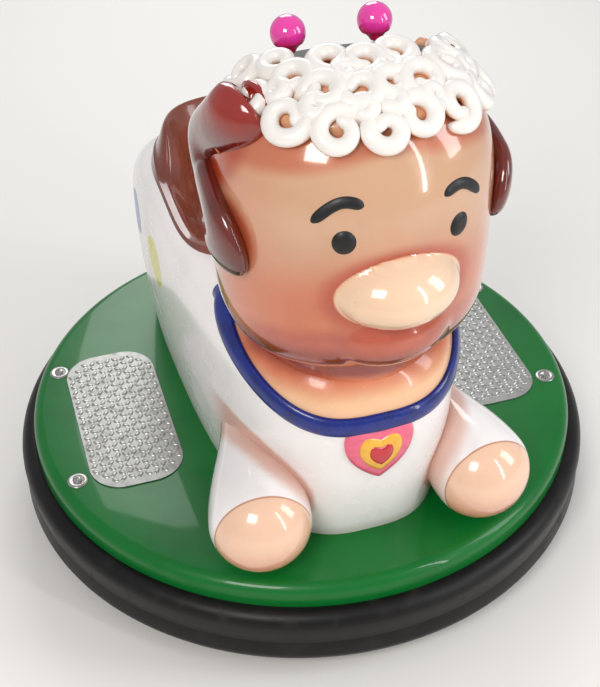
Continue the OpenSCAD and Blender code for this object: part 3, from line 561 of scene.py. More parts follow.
def off_axis(f, side):
    """Distance from the middle line of a front leg."""
    hip, paw = leg_axis(side)
    along = (paw - hip).normalized()
    rel = [f.x - hip.x, f.y - hip.y, f.z - hip.z]
    dot = rel[0] * along.x + rel[1] * along.y + rel[2] * along.z
    off = [r - dot * a for r, a in zip(rel, along)]
    return (off[0] ** 2.0 + off[1] ** 2.0 + off[2] ** 2.0).root(), dot


def body_paint():
    f = gelcoat("white_gelcoat_body", WHITE, roughness=0.24, coat=0.4)
    colour = f.worn(WHITE, 0.93, 120)
    drift = (f.noise(40, 3) - 0.5) * 16.0
    # A blue and a lime spot on each flank
    for tint, y, z, r in (
        (paint(24, 78, 168), 296, 276, 46),
        (paint(214, 206, 30), 138, 258, 50),
    ):
        away = (((f.y - y) ** 2.0 + (f.z - (deck_top + z)) ** 2.0).root() + drift * 0.16) - r
        spot = (-away).rise(-1.6, 1.6) * (1 - abs(f.x).rise(150, 149))
        colour = f.blend(colour, tint, spot)
    # Peach throat above the collar, with red-orange and then deep red just under the chin: sprayed colour and painted
    # shade under the jaw
    high = collar_line(f)
    throat = high.rise(-4, 4) * f.y.rise(-96, -140)
    colour = f.blend(colour, f.worn(paint(240, 190, 148), 0.93, 60), throat)
    up = f.z - deck_top + drift * 0.6
    front = throat * f.y.rise(-210, -300)
    colour = f.blend(colour, paint(206, 96, 56), front * up.rise(322, 362) * 0.85)
    colour = f.blend(colour, paint(132, 36, 20), front * up.rise(352, 376) * 0.9)
    # Painted shade in the creases where the legs leave the chest, and a soft painted shade at the deck
    for side in (-1, 1):
        off, _ = off_axis(f, side)
        crease_shade = (off + drift * 0.5).rise(102, 88) * f.y.rise(-150, -250)
        colour = f.blend(colour, paint(200, 120, 80), crease_shade * 0.65)
    foot = (f.z - deck_top + drift * 0.5).rise(30, 0)
    colour = f.blend(colour, paint(206, 186, 178), foot * 0.55)
    f.feed("Base Color", colour)
    return f


def leg_paint(side, word):
    f = gelcoat("white_gelcoat_leg_" + word, WHITE, roughness=0.16)
    drift = (f.noise(36, 3) - 0.5) * 14.0
    off, along = off_axis(f, side)
    hip, paw = leg_axis(side)
    colour = f.worn(WHITE, 0.94, 90)
    # Painted shade in the crease beside the chest
    ahead = (((abs(f.x) / 226.0) ** 4.0) + (((wide_y - f.y) / 640.0) ** 4.0)) ** 0.25
    crease_shade = (ahead + drift * 0.0012).rise(1.062, 1.0)
    colour = f.blend(colour, paint(206, 132, 92), crease_shade * 0.6)
    # Toe cap: a thin moulded line, peach, deeper towards the sole
    edge = along - (hip - paw).length * 0.75 + (f.z - (deck_top + 120)) * 0.14 + f.x * (-0.1 * side)
    toe = edge.rise(-1.2, 1.2)
    warm = (f.z - deck_top + drift).rise(120, 12)
    peach = f.blend(f.worn(paint(240, 198, 168), 0.95, 50), paint(214, 118, 84), warm * 0.85)
    colour = f.blend(colour, peach, toe)
    line = (1 - (abs(edge) / 2.6).least(1.0)).rise(0.0, 0.9)
    colour = f.blend(colour, paint(186, 112, 72), line * 0.8)
    # Darker at the very bottom of the toe cap, against the deck: painted shade
    sole = (f.z - deck_top).rise(14, 0)
    colour = f.blend(colour, paint(176, 96, 70), sole * toe * 0.7)
    f.feed("Base Color", colour)
    f.relief((f.noise(26, 2) * 0.75 + f.noise(3.2, 2) * 0.1) - line * 1.1 + toe * 0.6, 1.1, 0.45)
    return f


def head_paint():
    f = gelcoat("tan_gelcoat_head", TAN, roughness=0.15, coat=0.95)
    x, y, z = f.x, f.y - head_at.y, f.z - head_at.z
    drift = (f.noise(60, 3) - 0.5) * 26.0
    snout_mid = head_at + face_spin @ snout_at
    colour = f.worn(TAN, 0.93, 90)
    # Warmer cheeks and jaw
    low = (z + drift + abs(x) * 0.1).rise(70, -70)
    colour = f.blend(colour, f.worn(CLAY, 0.92, 70), low * 0.92)
    side = abs(x + drift * 0.4).rise(128, 205)
    colour = f.blend(colour, paint(222, 142, 112), side * 0.45)
    # Red-brown spray and painted shade round the snout, a reddish-brown jaw under it, and deep red painted shade
    # under the jaw
    snout = f.ball(snout_mid, snout_half)
    ring = snout.rise(1.42, 1.03)
    colour = f.blend(colour, paint(178, 68, 38), ring * 0.9)
    jaw = (z + 112 + abs(x) * 0.12 + drift * 0.2).rise(16, -14) * y.rise(-60, -130)
    colour = f.blend(colour, f.worn(paint(182, 84, 62), 0.85, 30), jaw * 0.9)
    under = (z + drift * 0.12).rise(-146, -186)
    colour = f.blend(colour, paint(126, 34, 20), under * 0.9)
    # Cream snout, with peach painted shade at its root and underside
    nose = snout.rise(1.06, 1.025) * (z + 112).rise(-4, 6)
    root = snout.rise(0.985, 1.05) * 0.7 + (z + 84).rise(6, -30) * 0.4
    colour = f.blend(colour, f.blend(paint(240, 208, 176), paint(228, 162, 118), root), nose)
    # Red spray and painted shade under the fringe and round the ears
    edge = (z - 158 + drift * 0.3 + abs(x) * 0.2).rise(-14, 8) * y.rise(40, -20)
    colour = f.blend(colour, paint(190, 92, 54), edge * 0.75)
    for side_x in (-1, 1):
        for at, size in (((206, -60, 0), 62), ((190, 6, 128), 86), ((208, 20, 60), 60)):
            near = f.ball(head_at + Vector((at[0] * side_x, at[1], at[2])), Vector((size, size, size)))
            colour = f.blend(colour, paint(178, 62, 26), near.rise(1.15, 0.72) * 0.85)
    f.feed("Base Color", colour)
    return f


def ear_paint():
    f = gelcoat("ear_gelcoat_sprayed", paint(96, 24, 12), roughness=0.13, coat=1.0)
    z = f.z - head_at.z
    drift = (f.noise(44, 3) - 0.5) * 40.0
    colour = f.worn(paint(104, 26, 13), 0.6, 46)
    # Brighter red towards the top and darker towards the lobe: painted light and painted shade
    colour = f.blend(colour, paint(158, 32, 16), (z + drift).rise(120, 190) * 0.75)
    colour = f.blend(colour, paint(66, 14, 12), (z + drift).rise(0, -50) * 0.6)
    f.feed("Base Color", colour)
    f.relief(f.noise(30, 3) * 1.2 + f.noise(4, 2) * 0.12, 2.2, 0.6)
    return f


def seat_paint():
    f = gelcoat("brown_gelcoat_seat", paint(142, 70, 48), roughness=0.24, coat=0.7)
    z = f.z - deck_top
    drift = (f.noise(50, 3) - 0.5) * 30.0
    colour = f.worn(paint(150, 76, 52), 0.8, 60)
    # Darker towards the rim at the sides and the top of the back, and low in the hollow: painted shade
    rim = (abs(f.x) + drift * 0.3).rise(150, 206)
    colour = f.blend(colour, paint(96, 30, 18), rim * 0.75)
    colour = f.blend(colour, paint(104, 38, 24), (z + drift).rise(400, 470) * 0.5)
    colour = f.blend(colour, paint(116, 52, 36), (z + drift * 0.5).rise(340, 300) * 0.6)
    f.feed("Base Color", colour)
    return f


def curl_paint():
    f = gelcoat("ivory_gelcoat_curls", paint(240, 234, 228), roughness=0.26, coat=0.5)
    depth = f.attribute("depth")
    drift = (f.noise(22, 3) - 0.5) * 0.3
    depth = depth + drift
    # Peach, then orange-brown, on the side of each rope that faces the head: painted shade
    colour = f.blend(f.worn(paint(240, 235, 229), 0.95, 40), paint(234, 186, 144), depth.rise(0.05, -0.55) * 0.95)
    colour = f.blend(colour, paint(190, 98, 58), depth.rise(-0.35, -0.9) * 0.9)
    f.feed("Base Color", colour)
    return f


def pad_paint():
    f = gelcoat("fringe_base_gelcoat_painted_shade", paint(214, 150, 108), roughness=0.3, coat=0.5)
    # The pad shows only in the gaps and holes between the curls: its orange-brown, darker at its lower edge, is
    # painted shade
    low = (f.z - head_at.z + (f.noise(20, 3) - 0.5) * 20.0).rise(168, 146)
    f.feed("Base Color", f.blend(f.worn(paint(226, 168, 128), 0.8, 20), paint(196, 110, 70), low * 0.8))
    return f


# ---------------------------------------------------------------- head


def make_head():
    def place(d):
        p = head_at + d * face_r(d)
        return Vector((p.x, p.y, max(p.z, head_at.z - jaw_h * neck_drop)))

    head = flesh_out("head", ball_of(71, place), head_paint(), slot="face_gelcoat", replaces=["head_shell"])
    # The console's well, open at the back and the top
    well = block((-260, console_front, 780), (260, console_front + 500, 1400))
    slope = console_turn @ Matrix.Translation((0, 0, -5))
    bmesh.ops.bisect_plane(
        well,
        geom=well.verts[:] + well.edges[:] + well.faces[:],
        plane_co=slope.translation * MM,
        plane_no=slope.to_3x3() @ Vector((0, 0, -1)),
        clear_outer=True,
    )
    bmesh.ops.holes_fill(well, edges=well.edges[:])
    cut(head, well)


def dome_on_face(name, centre, outline, rise, finish, slot):
    """A low dome that follows the face; outline(a) gives its edge, across and up from a (turn, tilt) place."""
    d = aim(*centre)
    across = Vector((-d.y, d.x, 0)).normalized()
    up = d.cross(across).normalized()
    if up.z < 0:
        up.negate()

    def place(u, v):
        x, y = outline(u * math.tau)
        v = max(v, 0.001)
        q = d * head_r(d) - across * x * v * (1 if d.y < 0 else -1) + up * y * v
        q.normalize()
        out = mix(rise, -0.8, ease((v - 0.35) / 0.65) ** 1.6) if v < 1 else -1.0
        return head_at + q * (head_r(q) + out)

    flesh_out(name, sheet_of(40, 7, place), finish, slot=slot, sharp=0)


def eye_edge(a):
    return 19.5 * math.sin(a), 21.5 * math.cos(a)


def make_eyes_and_brows():
    black = gelcoat("black_gelcoat_eyes", paint(5, 5, 6), roughness=0.45, coat=0.08)
    black.feed("Base Color", black.worn(paint(7, 6, 8), 0.5, 20))
    middle = face_turn + 0.6
    for side, word in SIDES:
        eye_at = (middle + side * 25.2, 8.1 - side * 1.7)
        dome_on_face("eye_" + word, eye_at, eye_edge, 4.5, black, "black_plastic")
        path, last = [], 20
        for i in range(last + 1):
            u = i / last
            arch = 5.4 * math.sin(math.pi * min(1, u * 0.92 + 0.08)) - 5.2 * u
            path.append(on_head(middle + side * mix(17.5, 38, u), 21.6 - side * 1.4 + arch, -0.6))
        width = [9.4 * math.sqrt(max(0.06, 1 - abs(2 * i / last - 1) ** 7)) for i in range(last + 1)]
        brow = rope(
            path,
            lambda i: width[i] * 0.45,
            16,
            wide=lambda i: width[i],
            side=lambda i: (path[i] - head_at).normalized().cross(path[min(i + 1, last)] - path[max(i - 1, 0)]),
        )
        flesh_out("brow_" + word, brow, black, slot="black_plastic", sharp=0, rounds=1)


EAR_PATH = [(-138, -38, 188), (-156, -46, 192), (-174, -44, 178), (-190, -8, 142), (-203, 46, 94),
            (-210, 40, 52), (-213, -24, 28), (-212, -60, 10), (-206, -64, -24), (-198, -60, -50)]
EAR_WIDE = [16, 40, 50, 46, 40, 40, 46, 50, 44, 18]
EAR_THICK = [14, 30, 34, 30, 23, 20, 21, 22, 20, 10]


def smooth_through(points, per):
    """A smooth run through points, per steps between each two."""
    out, n = [], len(points)
    for i in range(n - 1):
        a, b, c, d = (Vector(points[max(0, min(n - 1, j))]) for j in (i - 1, i, i + 1, i + 2))
        for k in range(per):
            t = k / per
            square, cube = 2 * a - 5 * b + 4 * c - d, 3 * b - a - 3 * c + d
            out.append(0.5 * (2 * b + (c - a) * t + square * t * t + cube * t**3))
    return out + [Vector(points[-1])]


def make_ears():
    finish = ear_paint()
    rows = smooth_through([(*p, 0) for p in EAR_PATH], 4)
    sizes = smooth_through([(w, t, 0) for w, t in zip(EAR_WIDE, EAR_THICK)], 4)
    for side, word in SIDES:
        # The far ear's top lies closer in, under the curls
        tuck = [ease((p[2] - 60) / 100) if side > 0 else 0 for p in rows]
        path = [head_at + Vector((-side * (p[0] + 36 * k), p[1] + 30 * k, p[2] - 8 * k)) for p, k in zip(rows, tuck)]
        last = len(path) - 1
        # The near ear's lobe hangs lower and wider
        hang = [ease((i - last + 16) / 14) if side < 0 else 0 for i in range(last + 1)]
        path = [p + Vector((-3, -2, -16)) * k for p, k in zip(path, hang)]

        def tip(i):
            return math.sqrt(max(0.02, 1 - max(0, (i - last + 4) / 4.05) ** 2)) if i > last - 4 else 1

        bm = rope(
            path,
            lambda i: sizes[i].x * tip(i) * (1 + 0.16 * hang[i]),
            28,
            wide=lambda i: sizes[i].y * tip(i),
            side=lambda i: Vector((-side, 0.25, 0.3)),
        )
        flesh_out("ear_moulding_" + word, bm, finish, slot="ear_gelcoat", replaces=["ear_" + word], sharp=0, rounds=1)


# Each curl: turn round the head, tilt up it, radius of its loop, where the loop starts, and the way that it winds
CURLS = [
    (-76, 50, 22, 150, 1), (-50, 49, 23, 60, -1), (-25, 49, 23, 20, 1), (-2, 48, 19, 100, 1), (17, 51, 23, 190, -1),
    (42, 47, 23, 200, 1), (62, 44, 18, 20, 1), (82, 41, 23, 60, -1), (-98, 53, 22, 200, 1), (100, 46, 20, 250, 1),
    (-62, 63, 21, 300, 1), (-37, 62, 21, 220, -1), (-13, 63, 23, 110, 1), (12, 64, 20, 330, 1), (34, 61, 23, 250, -1),
    (60, 58, 22, 330, 1), (84, 56, 22, 40, -1), (-86, 64, 20, 90, -1), (-46, 75, 22, 20, -1), (46, 74, 22, 160, 1),
    (0, 76, 22, 210, 1), (-38, 55, 11, 40, 1), (-12, 56, 11, 240, -1), (7, 57, 10, 140, 1), (30, 54, 11, 320, -1),
    (52, 52, 11, 100, 1), (-64, 56, 11, 200, -1), (-25, 70, 11, 0, 1), (22, 70, 11, 60, -1), (72, 51, 10, 180, 1),
]


def make_fringe():
    def pad(u, v):
        turn = mix(-103, 103, u)
        ahead = math.cos(math.radians(turn))
        near_end = abs(2 * u - 1) ** 6
        low = mix(43.5 + 3 * ahead, 50, near_end)
        crown = math.degrees(math.acos(min(1, 26 / (head_half.z * max(0.12, ahead)))))
        high = mix(min(84, crown), 62, near_end)
        edge = min(1, 8 * min(v, 1 - v, 0.12 + u, 1.12 - u))
        return on_head(turn, mix(low, high, v), mix(-5, 6.5, ease(edge)))

    flesh_out("fringe_base", sheet_of(90, 30, pad), pad_paint(), slot="ivory_gelcoat", shell=4)
    bm = bmesh.new()
    steps, turns = 40, 1.24
    for turn, tilt, r, start, way in CURLS:
        d = aim(turn, tilt)
        ex = Vector((-d.y, d.x, 0)).normalized()
        ey = d.cross(ex).normalized()
        path = []
        for i in range(steps + 1):
            u = i / steps
            a = math.radians(start) + way * math.tau * turns * u
            k = r * (1.34 - 0.34 * ease(u * 3) - 0.58 * ease((u - 0.55) / 0.5))
            q = (d * head_r(d) + ex * k * math.cos(a) + ey * k * math.sin(a)).normalized()
            out = 9 + 5.0 * math.sin(math.pi * u) - 9 * ease((0.12 - u) / 0.12) + 2.0 * ease((u - 0.6) / 0.4)
            path.append(head_at + q * (head_r(q) + out))

        def thick(i):
            u = i / steps
            start_round = math.sqrt(max(0.03, 1 - max(0, (0.16 - u) / 0.162) ** 2))
            end_round = math.sqrt(max(0.03, 1 - max(0, (u - 0.9) / 0.101) ** 2))
            return mix(13.6, 10.0, ease((u - 0.45) / 0.5)) * min(start_round, end_round)

        rope(path, thick, 14, lambda i: (path[i] - head_at).normalized(), bm, lift=lambda i, c: c - 0.15)
    finish = curl_paint()
    flesh_out("fringe_curl_ropes", bm, finish, slot="ivory_gelcoat", replaces=["fringe_curls"], sharp=0, rounds=1)


# ---------------------------------------------------------------- body, seat, collar and legs


def make_body():
    def place(u, v):
        t = u * math.tau
        if v <= 0.62:
            swell, rise = swell_rise(0.6 * v / 0.62)
            p = plan(t) * swell
            return Vector((p.x, p.y, deck_top + rise))
        w = (v - 0.62) / 0.38
        swell, rise = swell_rise(0.6)
        a, b = plan(t) * swell, seat_edge(t, 0.99)
        p = Vector((mix(a.x, b.x, w), mix(a.y, b.y, w), 0))
        return Vector((p.x, p.y, deck_top + body_top(p)))

    bm = sheet_of(160, 72, place)
    body = flesh_out("body_moulding", bm, body_paint(), slot="white_gelcoat", replaces=["body_shell"], shell=5)
    low, high = box("hatch_frame")
    cut(body, block((low.x, low.y + 2, low.z), (high.x, high.y + 30, high.z)))


def seat_height(t, k):
    e = seat_edge(t)
    rim = body_top(e)
    back = ease((e.y - seat_y) / (seat_l / 2) * 2 - 0.35)
    nose = ease((seat_y - e.y) / (seat_l / 2) * 2 - 1)
    side = ease((k - 0.66) / 0.3)
    hump = ease((k - 0.58) / 0.22) * (1 - ease((k - 0.86) / 0.14) * 0.82)
    flat = mix(body_h - seat_drop, rim + 3, side)
    return deck_top + flat + back * (back_rise + body_h - rim) * hump + nose * 12 * side


def make_seat():
    lip = 0.035

    def place(u, v):
        t = u * math.tau
        k = v * (1 + lip)
        p = seat_edge(t, k)
        z = seat_height(t, min(k, 1))
        if k > 1:
            z = mix(z, deck_top + body_top(p) - 3, ease((k - 1) / lip))
        return Vector((p.x, p.y, z))

    seat = sheet_of(128, 64, place)
    flesh_out("seat_moulding", seat, seat_paint(), slot="brown_gelcoat", replaces=["seat_shell"], shell=5)


def collar_point(t):
    z = collar_low
    for _ in range(10):
        z = min(body_h - 22, collar_low + collar_slope * (body_point(t, z).y + collar_start))
    return body_point(t, z), z


def make_collar():
    blue = Finish("blue_gelcoat_collar", paint(4, 30, 118), 0.3, Coat_Roughness=0.06, Specular_IOR_Level=0.4)
    flake = blue.cells(2.6).rise(0.32, 0.12) * blue.noise(30, 2).rise(0.4, 0.7)
    blue.feed("Base Color", blue.blend(blue.worn(paint(2, 30, 122), 0.55, 26), paint(60, 120, 214), flake * 0.5))
    blue.feed("Coat Weight", 0.5 - blue.noise(60, 5).rise(0.6, 0.85) * 0.3)
    blue.relief(blue.noise(14, 3), 0.8, 0.5)
    n = 120
    path, outs = [], []
    for i in range(n + 1):
        t = math.radians(mix(collar_ends[0] - 3, collar_ends[1], i / n))
        p, z = collar_point(t)
        out = skin_out(t, z)
        sink = ease((0.07 - min(i, n - i) / n) / 0.07)
        path.append(p + out * (1.5 - 15 * sink))
        outs.append(out)
    bm = rope(path, lambda i: 18.5, 24, wide=lambda i: 9.0, side=lambda i: outs[i])
    flesh_out("collar_moulding", bm, blue, slot="blue_gelcoat", replaces=["collar_band"], sharp=0)


def heart_edge(a, w, share):
    x = 0.5 * spow(math.sin(a), 1.7)
    y = 0.04 * (13 * math.cos(a) - 3.1 * math.cos(2 * a) - 1.5 * math.cos(3 * a) - 0.5 * math.cos(4 * a))
    return w * x * share, w * (-0.1 + (y + 0.1) * share)


def make_heart():
    w, z0 = 118.0, deck_top + 231.0
    front = body_point(0, 229).y
    for name, size, low, high, colour in (
        ("heart_outer", 1.0, 2.0, 10.5, paint(236, 96, 128)),
        ("heart_middle", 0.64, 8.5, 14.0, paint(240, 178, 44)),
        ("heart_centre", 0.36, 12.0, 18.0, paint(196, 24, 40)),
    ):
        f = plain_gelcoat(name + "_gelcoat", colour, roughness=0.16)
        shadow = tuple(c * 0.6 for c in colour[:3]) + (1.0,)
        f.feed("Base Color", f.blend(f.worn(colour, 0.86, 18), shadow, (f.z - (z0 - 12)).rise(20, -60) * 0.5))

        def place(u, v):
            reach = min(1, v / 0.8)
            x, y = heart_edge(-u * math.tau, w, max(size * reach, 0.001))
            lift = mix(low, high, math.sqrt(max(0, 1 - reach**3.2))) if v < 0.8 else mix(low, -6, (v - 0.8) / 0.2)
            return Vector((x, front - lift, z0 + y))

        extra = {"replaces": ["heart_pendant"]} if name == "heart_outer" else {}
        flesh_out(name, sheet_of(72, 16, place), f, slot="pink_gelcoat", sharp=50, **extra)


def make_legs():
    for side, word in SIDES:
        hip, paw = leg_axis(side)

        def place(u, v, hip=hip, paw=paw):
            along = (paw - hip).normalized()
            across = (Vector((1, 0, 0)) - along * along.x).normalized()
            up = along.cross(across)
            end = math.sqrt(max(0, 1 - max(0, (v - 0.74) / 0.26) ** 2))
            r = mix(50, 87, ease(v * 1.35)) * end
            start = ease(v / 0.04)
            a = u * math.tau
            p = mix(hip, paw, v) + (across * math.cos(a) + up * math.sin(a)) * r * start
            floor = deck_top + 0.2
            if p.z < floor + 14:
                p.z = floor + 14 * math.exp((p.z - floor - 14) / 14) if p.z > floor - 90 else floor
                p.z = max(p.z, floor)
            return p

        leg, finish = sheet_of(72, 64, place), leg_paint(side, word)
        flesh_out("leg_moulding_" + word, leg, finish, slot="peach_gelcoat", replaces=["leg_" + word], sharp=0)


# ---------------------------------------------------------------- deck, bumper and fittings


def arc(cx, cy, r, first, last, n):
    """Points of a round stretch of n steps, from one angle to another."""
    angles = [math.radians(mix(first, last, i / n)) for i in range(n + 1)]
    return [(cx + r * math.cos(a), cy + r * math.sin(a)) for a in angles]


def make_deck():
    green = gelcoat("green_gelcoat_deck", paint(0, 106, 38), roughness=0.3, coat=0.3)
    green.feed("Specular IOR Level", 0.25)
    # Pale green specks: painted highlights on the gloss
    pale_patches = green.noise(5, 2).rise(0.72, 0.8) * green.noise(60, 3).rise(0.5, 0.7)
    colour = green.blend(green.worn(paint(0, 106, 38), 0.8, 160), paint(120, 190, 140), pale_patches * 0.35)
    green.feed("Base Color", colour)
    skirt, round_r, hub_r, wall = box("deck")[0].z, 22, 60, 5
    profile = (
        [(hub_r, deck_top), (deck_r - round_r, deck_top)]
        + arc(deck_r - round_r, deck_top - round_r, round_r, 90, 0, 10)[1:]
        + [(deck_r, skirt), (deck_r - wall, skirt)]
        + arc(deck_r - round_r, deck_top - round_r, round_r - wall, 0, 90, 8)
        + [(hub_r, deck_top - wall), (hub_r, deck_top)]
    )
    steps = [profile[0]]
    for a, b in zip(profile, profile[1:]):
        cuts = max(1, int(math.dist(a, b) / 60))
        steps += [(mix(a[0], b[0], k / cuts), mix(a[1], b[1], k / cuts)) for k in range(1, cuts + 1)]
    flesh_out("deck_skin", turned(steps, 220), green, slot="deck_gelcoat", replaces=["deck"])


def make_bumper():
    f = rubber("black_rubber_bumper", paint(12, 10, 10), 0.46)
    f.feed("Specular IOR Level", 0.3)
    low, high, face = bumper_low.z - bumper_hang, bumper_high.z, bumper_high.x
    inner = rim_r + 6
    mid, r = (low + high) / 2, 26
    outside = (
        [(inner, low)]
        + arc(face - r, low + r, r, -90, 0, 10)
        + arc(face + 2, mid - 6, 7, 205, 155, 6)
        + arc(face - r, high - r, r, 0, 90, 10)
        + [(inner, high)]
    )
    outside = [(min(x, face), z) for x, z in outside]
    inside = [(inner, high - 12), (face - 24, high - 12), (face - 24, low + 12), (inner, low + 12), (inner, low)]
    ring = turned(outside + inside, 220)
    flesh_out("bumper_moulding", ring, f, slot="bumper_rubber", replaces=["bumper_ring"], sharp=30)


def make_treads():
    """Rows of raised lentils, turned alternately, on both footplates."""
    f = metal("tread_bar_aluminium", paint(190, 190, 186), 0.34, pits=0.15)
    bm = bmesh.new()
    bmesh.ops.create_uvsphere(bm, u_segments=8, v_segments=6, radius=1)
    bmesh.ops.bisect_plane(
        bm, geom=bm.verts[:] + bm.edges[:] + bm.faces[:], plane_co=(0, 0, 0), plane_no=(0, 0, -1), clear_outer=True
    )
    bmesh.ops.holes_fill(bm, edges=bm.edges[:])
    bmesh.ops.scale(bm, vec=Vector((8.4, 4.2, 2.2)) * MM, verts=bm.verts)
    one = bpy.data.meshes.new("lentil")
    bm.to_mesh(one)
    bm.free()
    whole = bmesh.new()
    for node in ("footplate_left", "footplate_right"):
        low, high = box(node)
        mid, half = (low + high) / 2, (high - low) / 2
        pitch, corner, margin = 15.5, 56.0, 8
        reach_x, reach_y = half.x - margin, half.y - margin
        for i in range(-6, 7):
            for j in range(-13, 14):
                x, y = i * pitch, j * pitch
                past_x, past_y = max(abs(x) - (reach_x - corner), 0), max(abs(y) - (reach_y - corner), 0)
                if abs(x) > reach_x or abs(y) > reach_y or math.hypot(past_x, past_y) > corner:
                    continue
                before = set(whole.verts)
                whole.from_mesh(one)
                new = [v for v in whole.verts if v not in before]
                turn = Matrix.Rotation(math.radians(45 if (i + j) % 2 else -45), 4, "Z")
                bmesh.ops.transform(
                    whole, matrix=Matrix.Translation(Vector((mid.x + x, mid.y + y, high.z)) * MM) @ turn, verts=new
                )
    flesh_out("tread_bars", whole, f, slot="tread_aluminium", sharp=60)


def make_deck_screws():
    """Cup washers, each with a button-head screw that has a socket in its top."""
    f = metal("zinc_deck_screws", paint(190, 188, 184), 0.3, pits=0.3)
    cup = [(0, 0), (18, 0), (18.8, 0.9), (17, 2.4), (14, 3.1), (11.5, 2.2), (9.5, 2.2)]
    head = [(8.8, 3.4), (8.4, 5.2), (6.2, 6.6), (3.6, 7.1), (3.1, 6.8), (2.9, 4.6), (0, 4.4)]
    bm = bmesh.new()
    for turn in (-111.6, -73.9, 73.9, 111.6):
        at = Matrix.Rotation(math.radians(turn), 3, "Z") @ Vector((0, -screw_ring_r, deck_top))
        turned(cup + head, 36, at, bm)
    flesh_out("deck_cup_screws", bm, f, slot="zinc", replaces=["deck_bolts"])


def make_knobs():
    for side, word in SIDES:
        f = Finish("pink_knob_" + word, paint(226, 44, 140), 0.12, Coat_Weight=1.0, Coat_Roughness=0.03)
        node = "knob_" + word
        low, high = box(node)
        top, bottom = high.z, low.z
        warm = (f.z + (f.noise(20, 2) - 0.5) * 10.0).rise(mix(bottom, top, 0.62), mix(bottom, top, 0.2))
        f.feed("Base Color", f.blend(f.worn(paint(238, 62, 168), 0.9, 14), paint(236, 34, 92), warm))
        f.feed("Roughness", 0.1 + f.noise(12, 5).rise(0.6, 0.8) * 0.14)
        # A stem hole, a flared neck and a ball
        r, start = 26.5, math.degrees(math.atan2(-17, 20.4))
        neck = [(4.05, -24), (4.05, -29.5), (7, -29.5), (8.6, -28), (11.5, -23.2), (15.5, -19.5)]
        ball = arc(0, 0, r, start, 90, 20)[:-1] + [(0, r)]
        centre = console_turn @ Vector((side * 66.5, 0, 48))
        bm = turned(neck + ball, 48, centre, turn=Matrix.Rotation(console_tilt, 4, "X"))
        body = frame["nodes"][node]["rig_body"]
        flesh_out("lever_knob_" + word, bm, f, body=body, slot="pink_knob", replaces=[node], sharp=50)


# ---------------------------------------------------------------- finishes of the carried-over pieces


def dress(finish, *nodes):
    for name in nodes:
        mesh = frame["nodes"][name].data
        mesh.materials.clear()
        mesh.materials.append(finish.material)


def dress_nodes():
    ply = Finish("birch_plywood", paint(176, 134, 88), 0.6, Specular_IOR_Level=0.3)
    grain = ply.noise(8, 5, stretch=(0.12, 1, 1), distortion=0.8)
    bands = ply.noise(3.2, 1, stretch=(0.02, 0.02, 1))
    dark = grain.rise(0.35, 0.7) * 0.7 + bands.rise(0.5, 0.6) * 0.25
    ply.feed("Base Color", ply.blend(paint(190, 150, 102), paint(132, 92, 56), dark))
    ply.feed("Roughness", 0.5 + grain * 0.25)
    ply.relief(grain, 0.3, 0.5)
    steel = powder_coat("dark_steel_frame", paint(54, 56, 58))
    zinc = metal("zinc_plate", paint(184, 182, 176), 0.34)
    dress(ply, "deck_core")
    dress(steel, "rim_band", "chassis_frame", "battery_tray")
    tread = metal("tread_plate_aluminium", paint(160, 160, 157), 0.42, brushed=(1, 0.08, 1), pits=0.12)
    dress(tread, "footplate_left", "footplate_right")
    neck = plain_gelcoat("peach_gelcoat_neck", paint(232, 176, 136))
    # Painted shade under the jaw: red-orange, then deep red at the top of the neck
    up = neck.z - deck_top + (neck.noise(40, 3) - 0.5) * 14.0
    shade = neck.blend(neck.worn(paint(236, 182, 140), 0.9, 60), paint(206, 96, 56), up.rise(322, 362) * 0.85)
    neck.feed("Base Color", neck.blend(shade, paint(132, 36, 20), up.rise(352, 376) * 0.9))
    dress(neck, "neck_ring")
    black = moulded_plastic("black_console_plastic", paint(26, 26, 28))
    dress(black, "console_panel", "hatch_frame", "hatch_door", "charge_socket")
    dress(moulded_plastic("black_lever_base", paint(20, 20, 22), 0.3), "lever_sockets", "coin_slot", "speaker_grille")
    bright = metal("bright_steel_stem", paint(206, 204, 200), 0.16, brushed=(1, 1, 0.1), pits=0.08)
    dress(bright, "lever_left", "lever_right", "start_bezel", "key_barrel", "hatch_knob")
    dress(moulded_plastic("green_button_plastic", paint(30, 170, 60), 0.2, 2.0), "start_button")
    dress(metal("key_brass", paint(196, 158, 84), 0.28), "key_switch")
    dress(moulded_plastic("battery_case_plastic", paint(44, 46, 50), 0.5, 2.0), "battery_pack")
    dress(powder_coat("controller_blue_case", paint(30, 66, 124)), "motor_controller")
    dress(moulded_plastic("red_cap_plastic", paint(190, 26, 24), 0.35), "charge_cap")
    dress(powder_coat("motor_paint", paint(70, 74, 78)), "motor_left", "motor_right")
    cast = metal("cast_alloy", paint(150, 150, 148), 0.5, pits=0.4)
    dress(cast, "gearbox_left", "gearbox_right", "wheel_hub_left", "wheel_hub_right")
    dress(metal("bronze_bush", paint(170, 120, 66), 0.35), "axle_bushes")
    gear = metal("gear_steel", paint(150, 146, 140), 0.3)
    dress(gear, "axle_left", "axle_right", "axle_gear_left", "axle_gear_right", "pinion_left", "pinion_right")
    dress(rubber("drive_tyre_rubber", paint(34, 33, 32), 0.7), "tyre_left", "tyre_right")
    dress(rubber("caster_wheel_rubber", paint(70, 70, 72), 0.6), "caster_wheel_front", "caster_wheel_rear")
    dress(zinc, "caster_plates", "caster_fork_front", "caster_fork_rear")


# ---------------------------------------------------------------- room, light and camera


def area_light(name, at, look, size, power, colour=(1, 1, 1), tall=None):
    data = bpy.data.lights.new(name, "AREA")
    data.energy, data.size, data.color = power, size, colour
    if tall:
        data.shape, data.size_y = "RECTANGLE", tall
    lamp = bpy.data.objects.new(name, data)
    lamp.location = at
    lamp.rotation_euler = (Vector(look) - Vector(at)).to_track_quat("-Z", "Y").to_euler()
    bpy.context.scene.collection.objects.link(lamp)


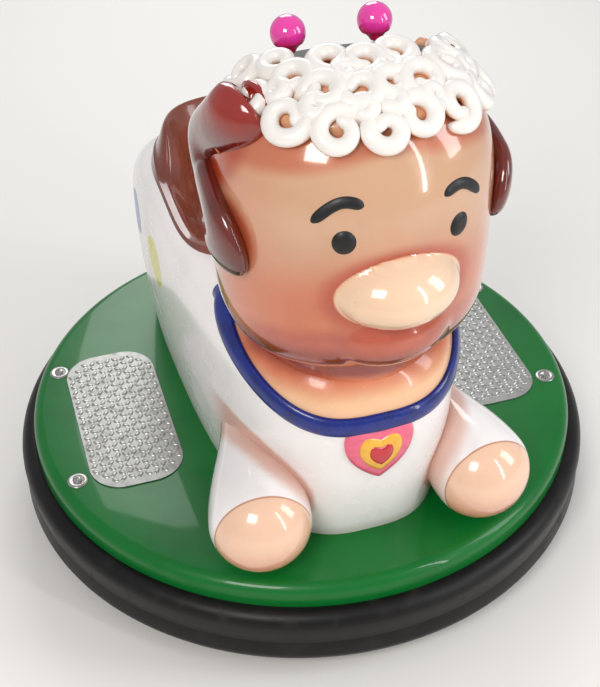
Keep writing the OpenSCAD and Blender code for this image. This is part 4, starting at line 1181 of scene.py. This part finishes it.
def make_room():
    bm = bmesh.new()
    bmesh.ops.create_grid(bm, x_segments=8, y_segments=8, size=30)
    mesh = bpy.data.meshes.new("floor")
    bm.to_mesh(mesh)
    bm.free()
    floor = bpy.data.objects.new("floor", mesh)
    bpy.context.scene.collection.objects.link(floor)
    pale = Finish("pale_floor", (0.86, 0.84, 0.80, 1), 0.7, Specular_IOR_Level=0.2)
    mesh.materials.append(pale.material)
    world = bpy.data.worlds.new("studio")
    bpy.context.scene.world = world
    world.use_nodes = True
    sky = world.node_tree.nodes["Background"].inputs
    sky["Color"].default_value, sky["Strength"].default_value = (0.95, 0.96, 1.0, 1), 0.5
    area_light("key", (-1.9, -2.6, 3.2), (0, -0.1, 0.5), 1.3, 74, (1, 0.97, 0.93))
    area_light("fill", (2.8, -1.6, 2.0), (0, -0.2, 0.5), 0.9, 30, (0.96, 0.98, 1.0), tall=2.0)
    area_light("back", (0.6, 3.0, 2.6), (0, 0.1, 0.5), 1.8, 46)
    area_light("strip", (1.35, -2.3, 1.5), (0, -0.2, 0.7), 0.12, 14, tall=2.2)


def make_camera():
    azimuth, elevation, roll = math.radians(-16.5), math.radians(39.2), math.radians(1.2)
    level = math.cos(elevation)
    back = Vector((math.sin(azimuth) * level, -math.cos(azimuth) * level, math.sin(elevation)))
    right = Vector((math.cos(azimuth), math.sin(azimuth), 0))
    up = back.cross(right)
    at = back * 2.5 + right * 0.001 + up * 0.077 + Vector((0, 0, deck_top * MM))
    across = right * math.cos(roll) - up * math.sin(roll)
    upward = right * math.sin(roll) + up * math.cos(roll)
    data = bpy.data.cameras.new("camera")
    data.lens, data.sensor_width = 65.45, 36
    camera = bpy.data.objects.new("camera", data)
    camera.matrix_world = Matrix.Translation(at) @ Matrix((across, upward, back)).transposed().to_4x4()
    bpy.context.scene.collection.objects.link(camera)
    bpy.context.scene.camera = camera


bpy.context.scene.view_settings.view_transform = "Standard"
make_camera()
make_room()
dress_nodes()
make_deck()
make_bumper()
make_treads()
make_deck_screws()
make_body()
make_seat()
make_collar()
make_heart()
make_legs()
make_head()
make_eyes_and_brows()
make_ears()
make_fringe()
make_knobs()
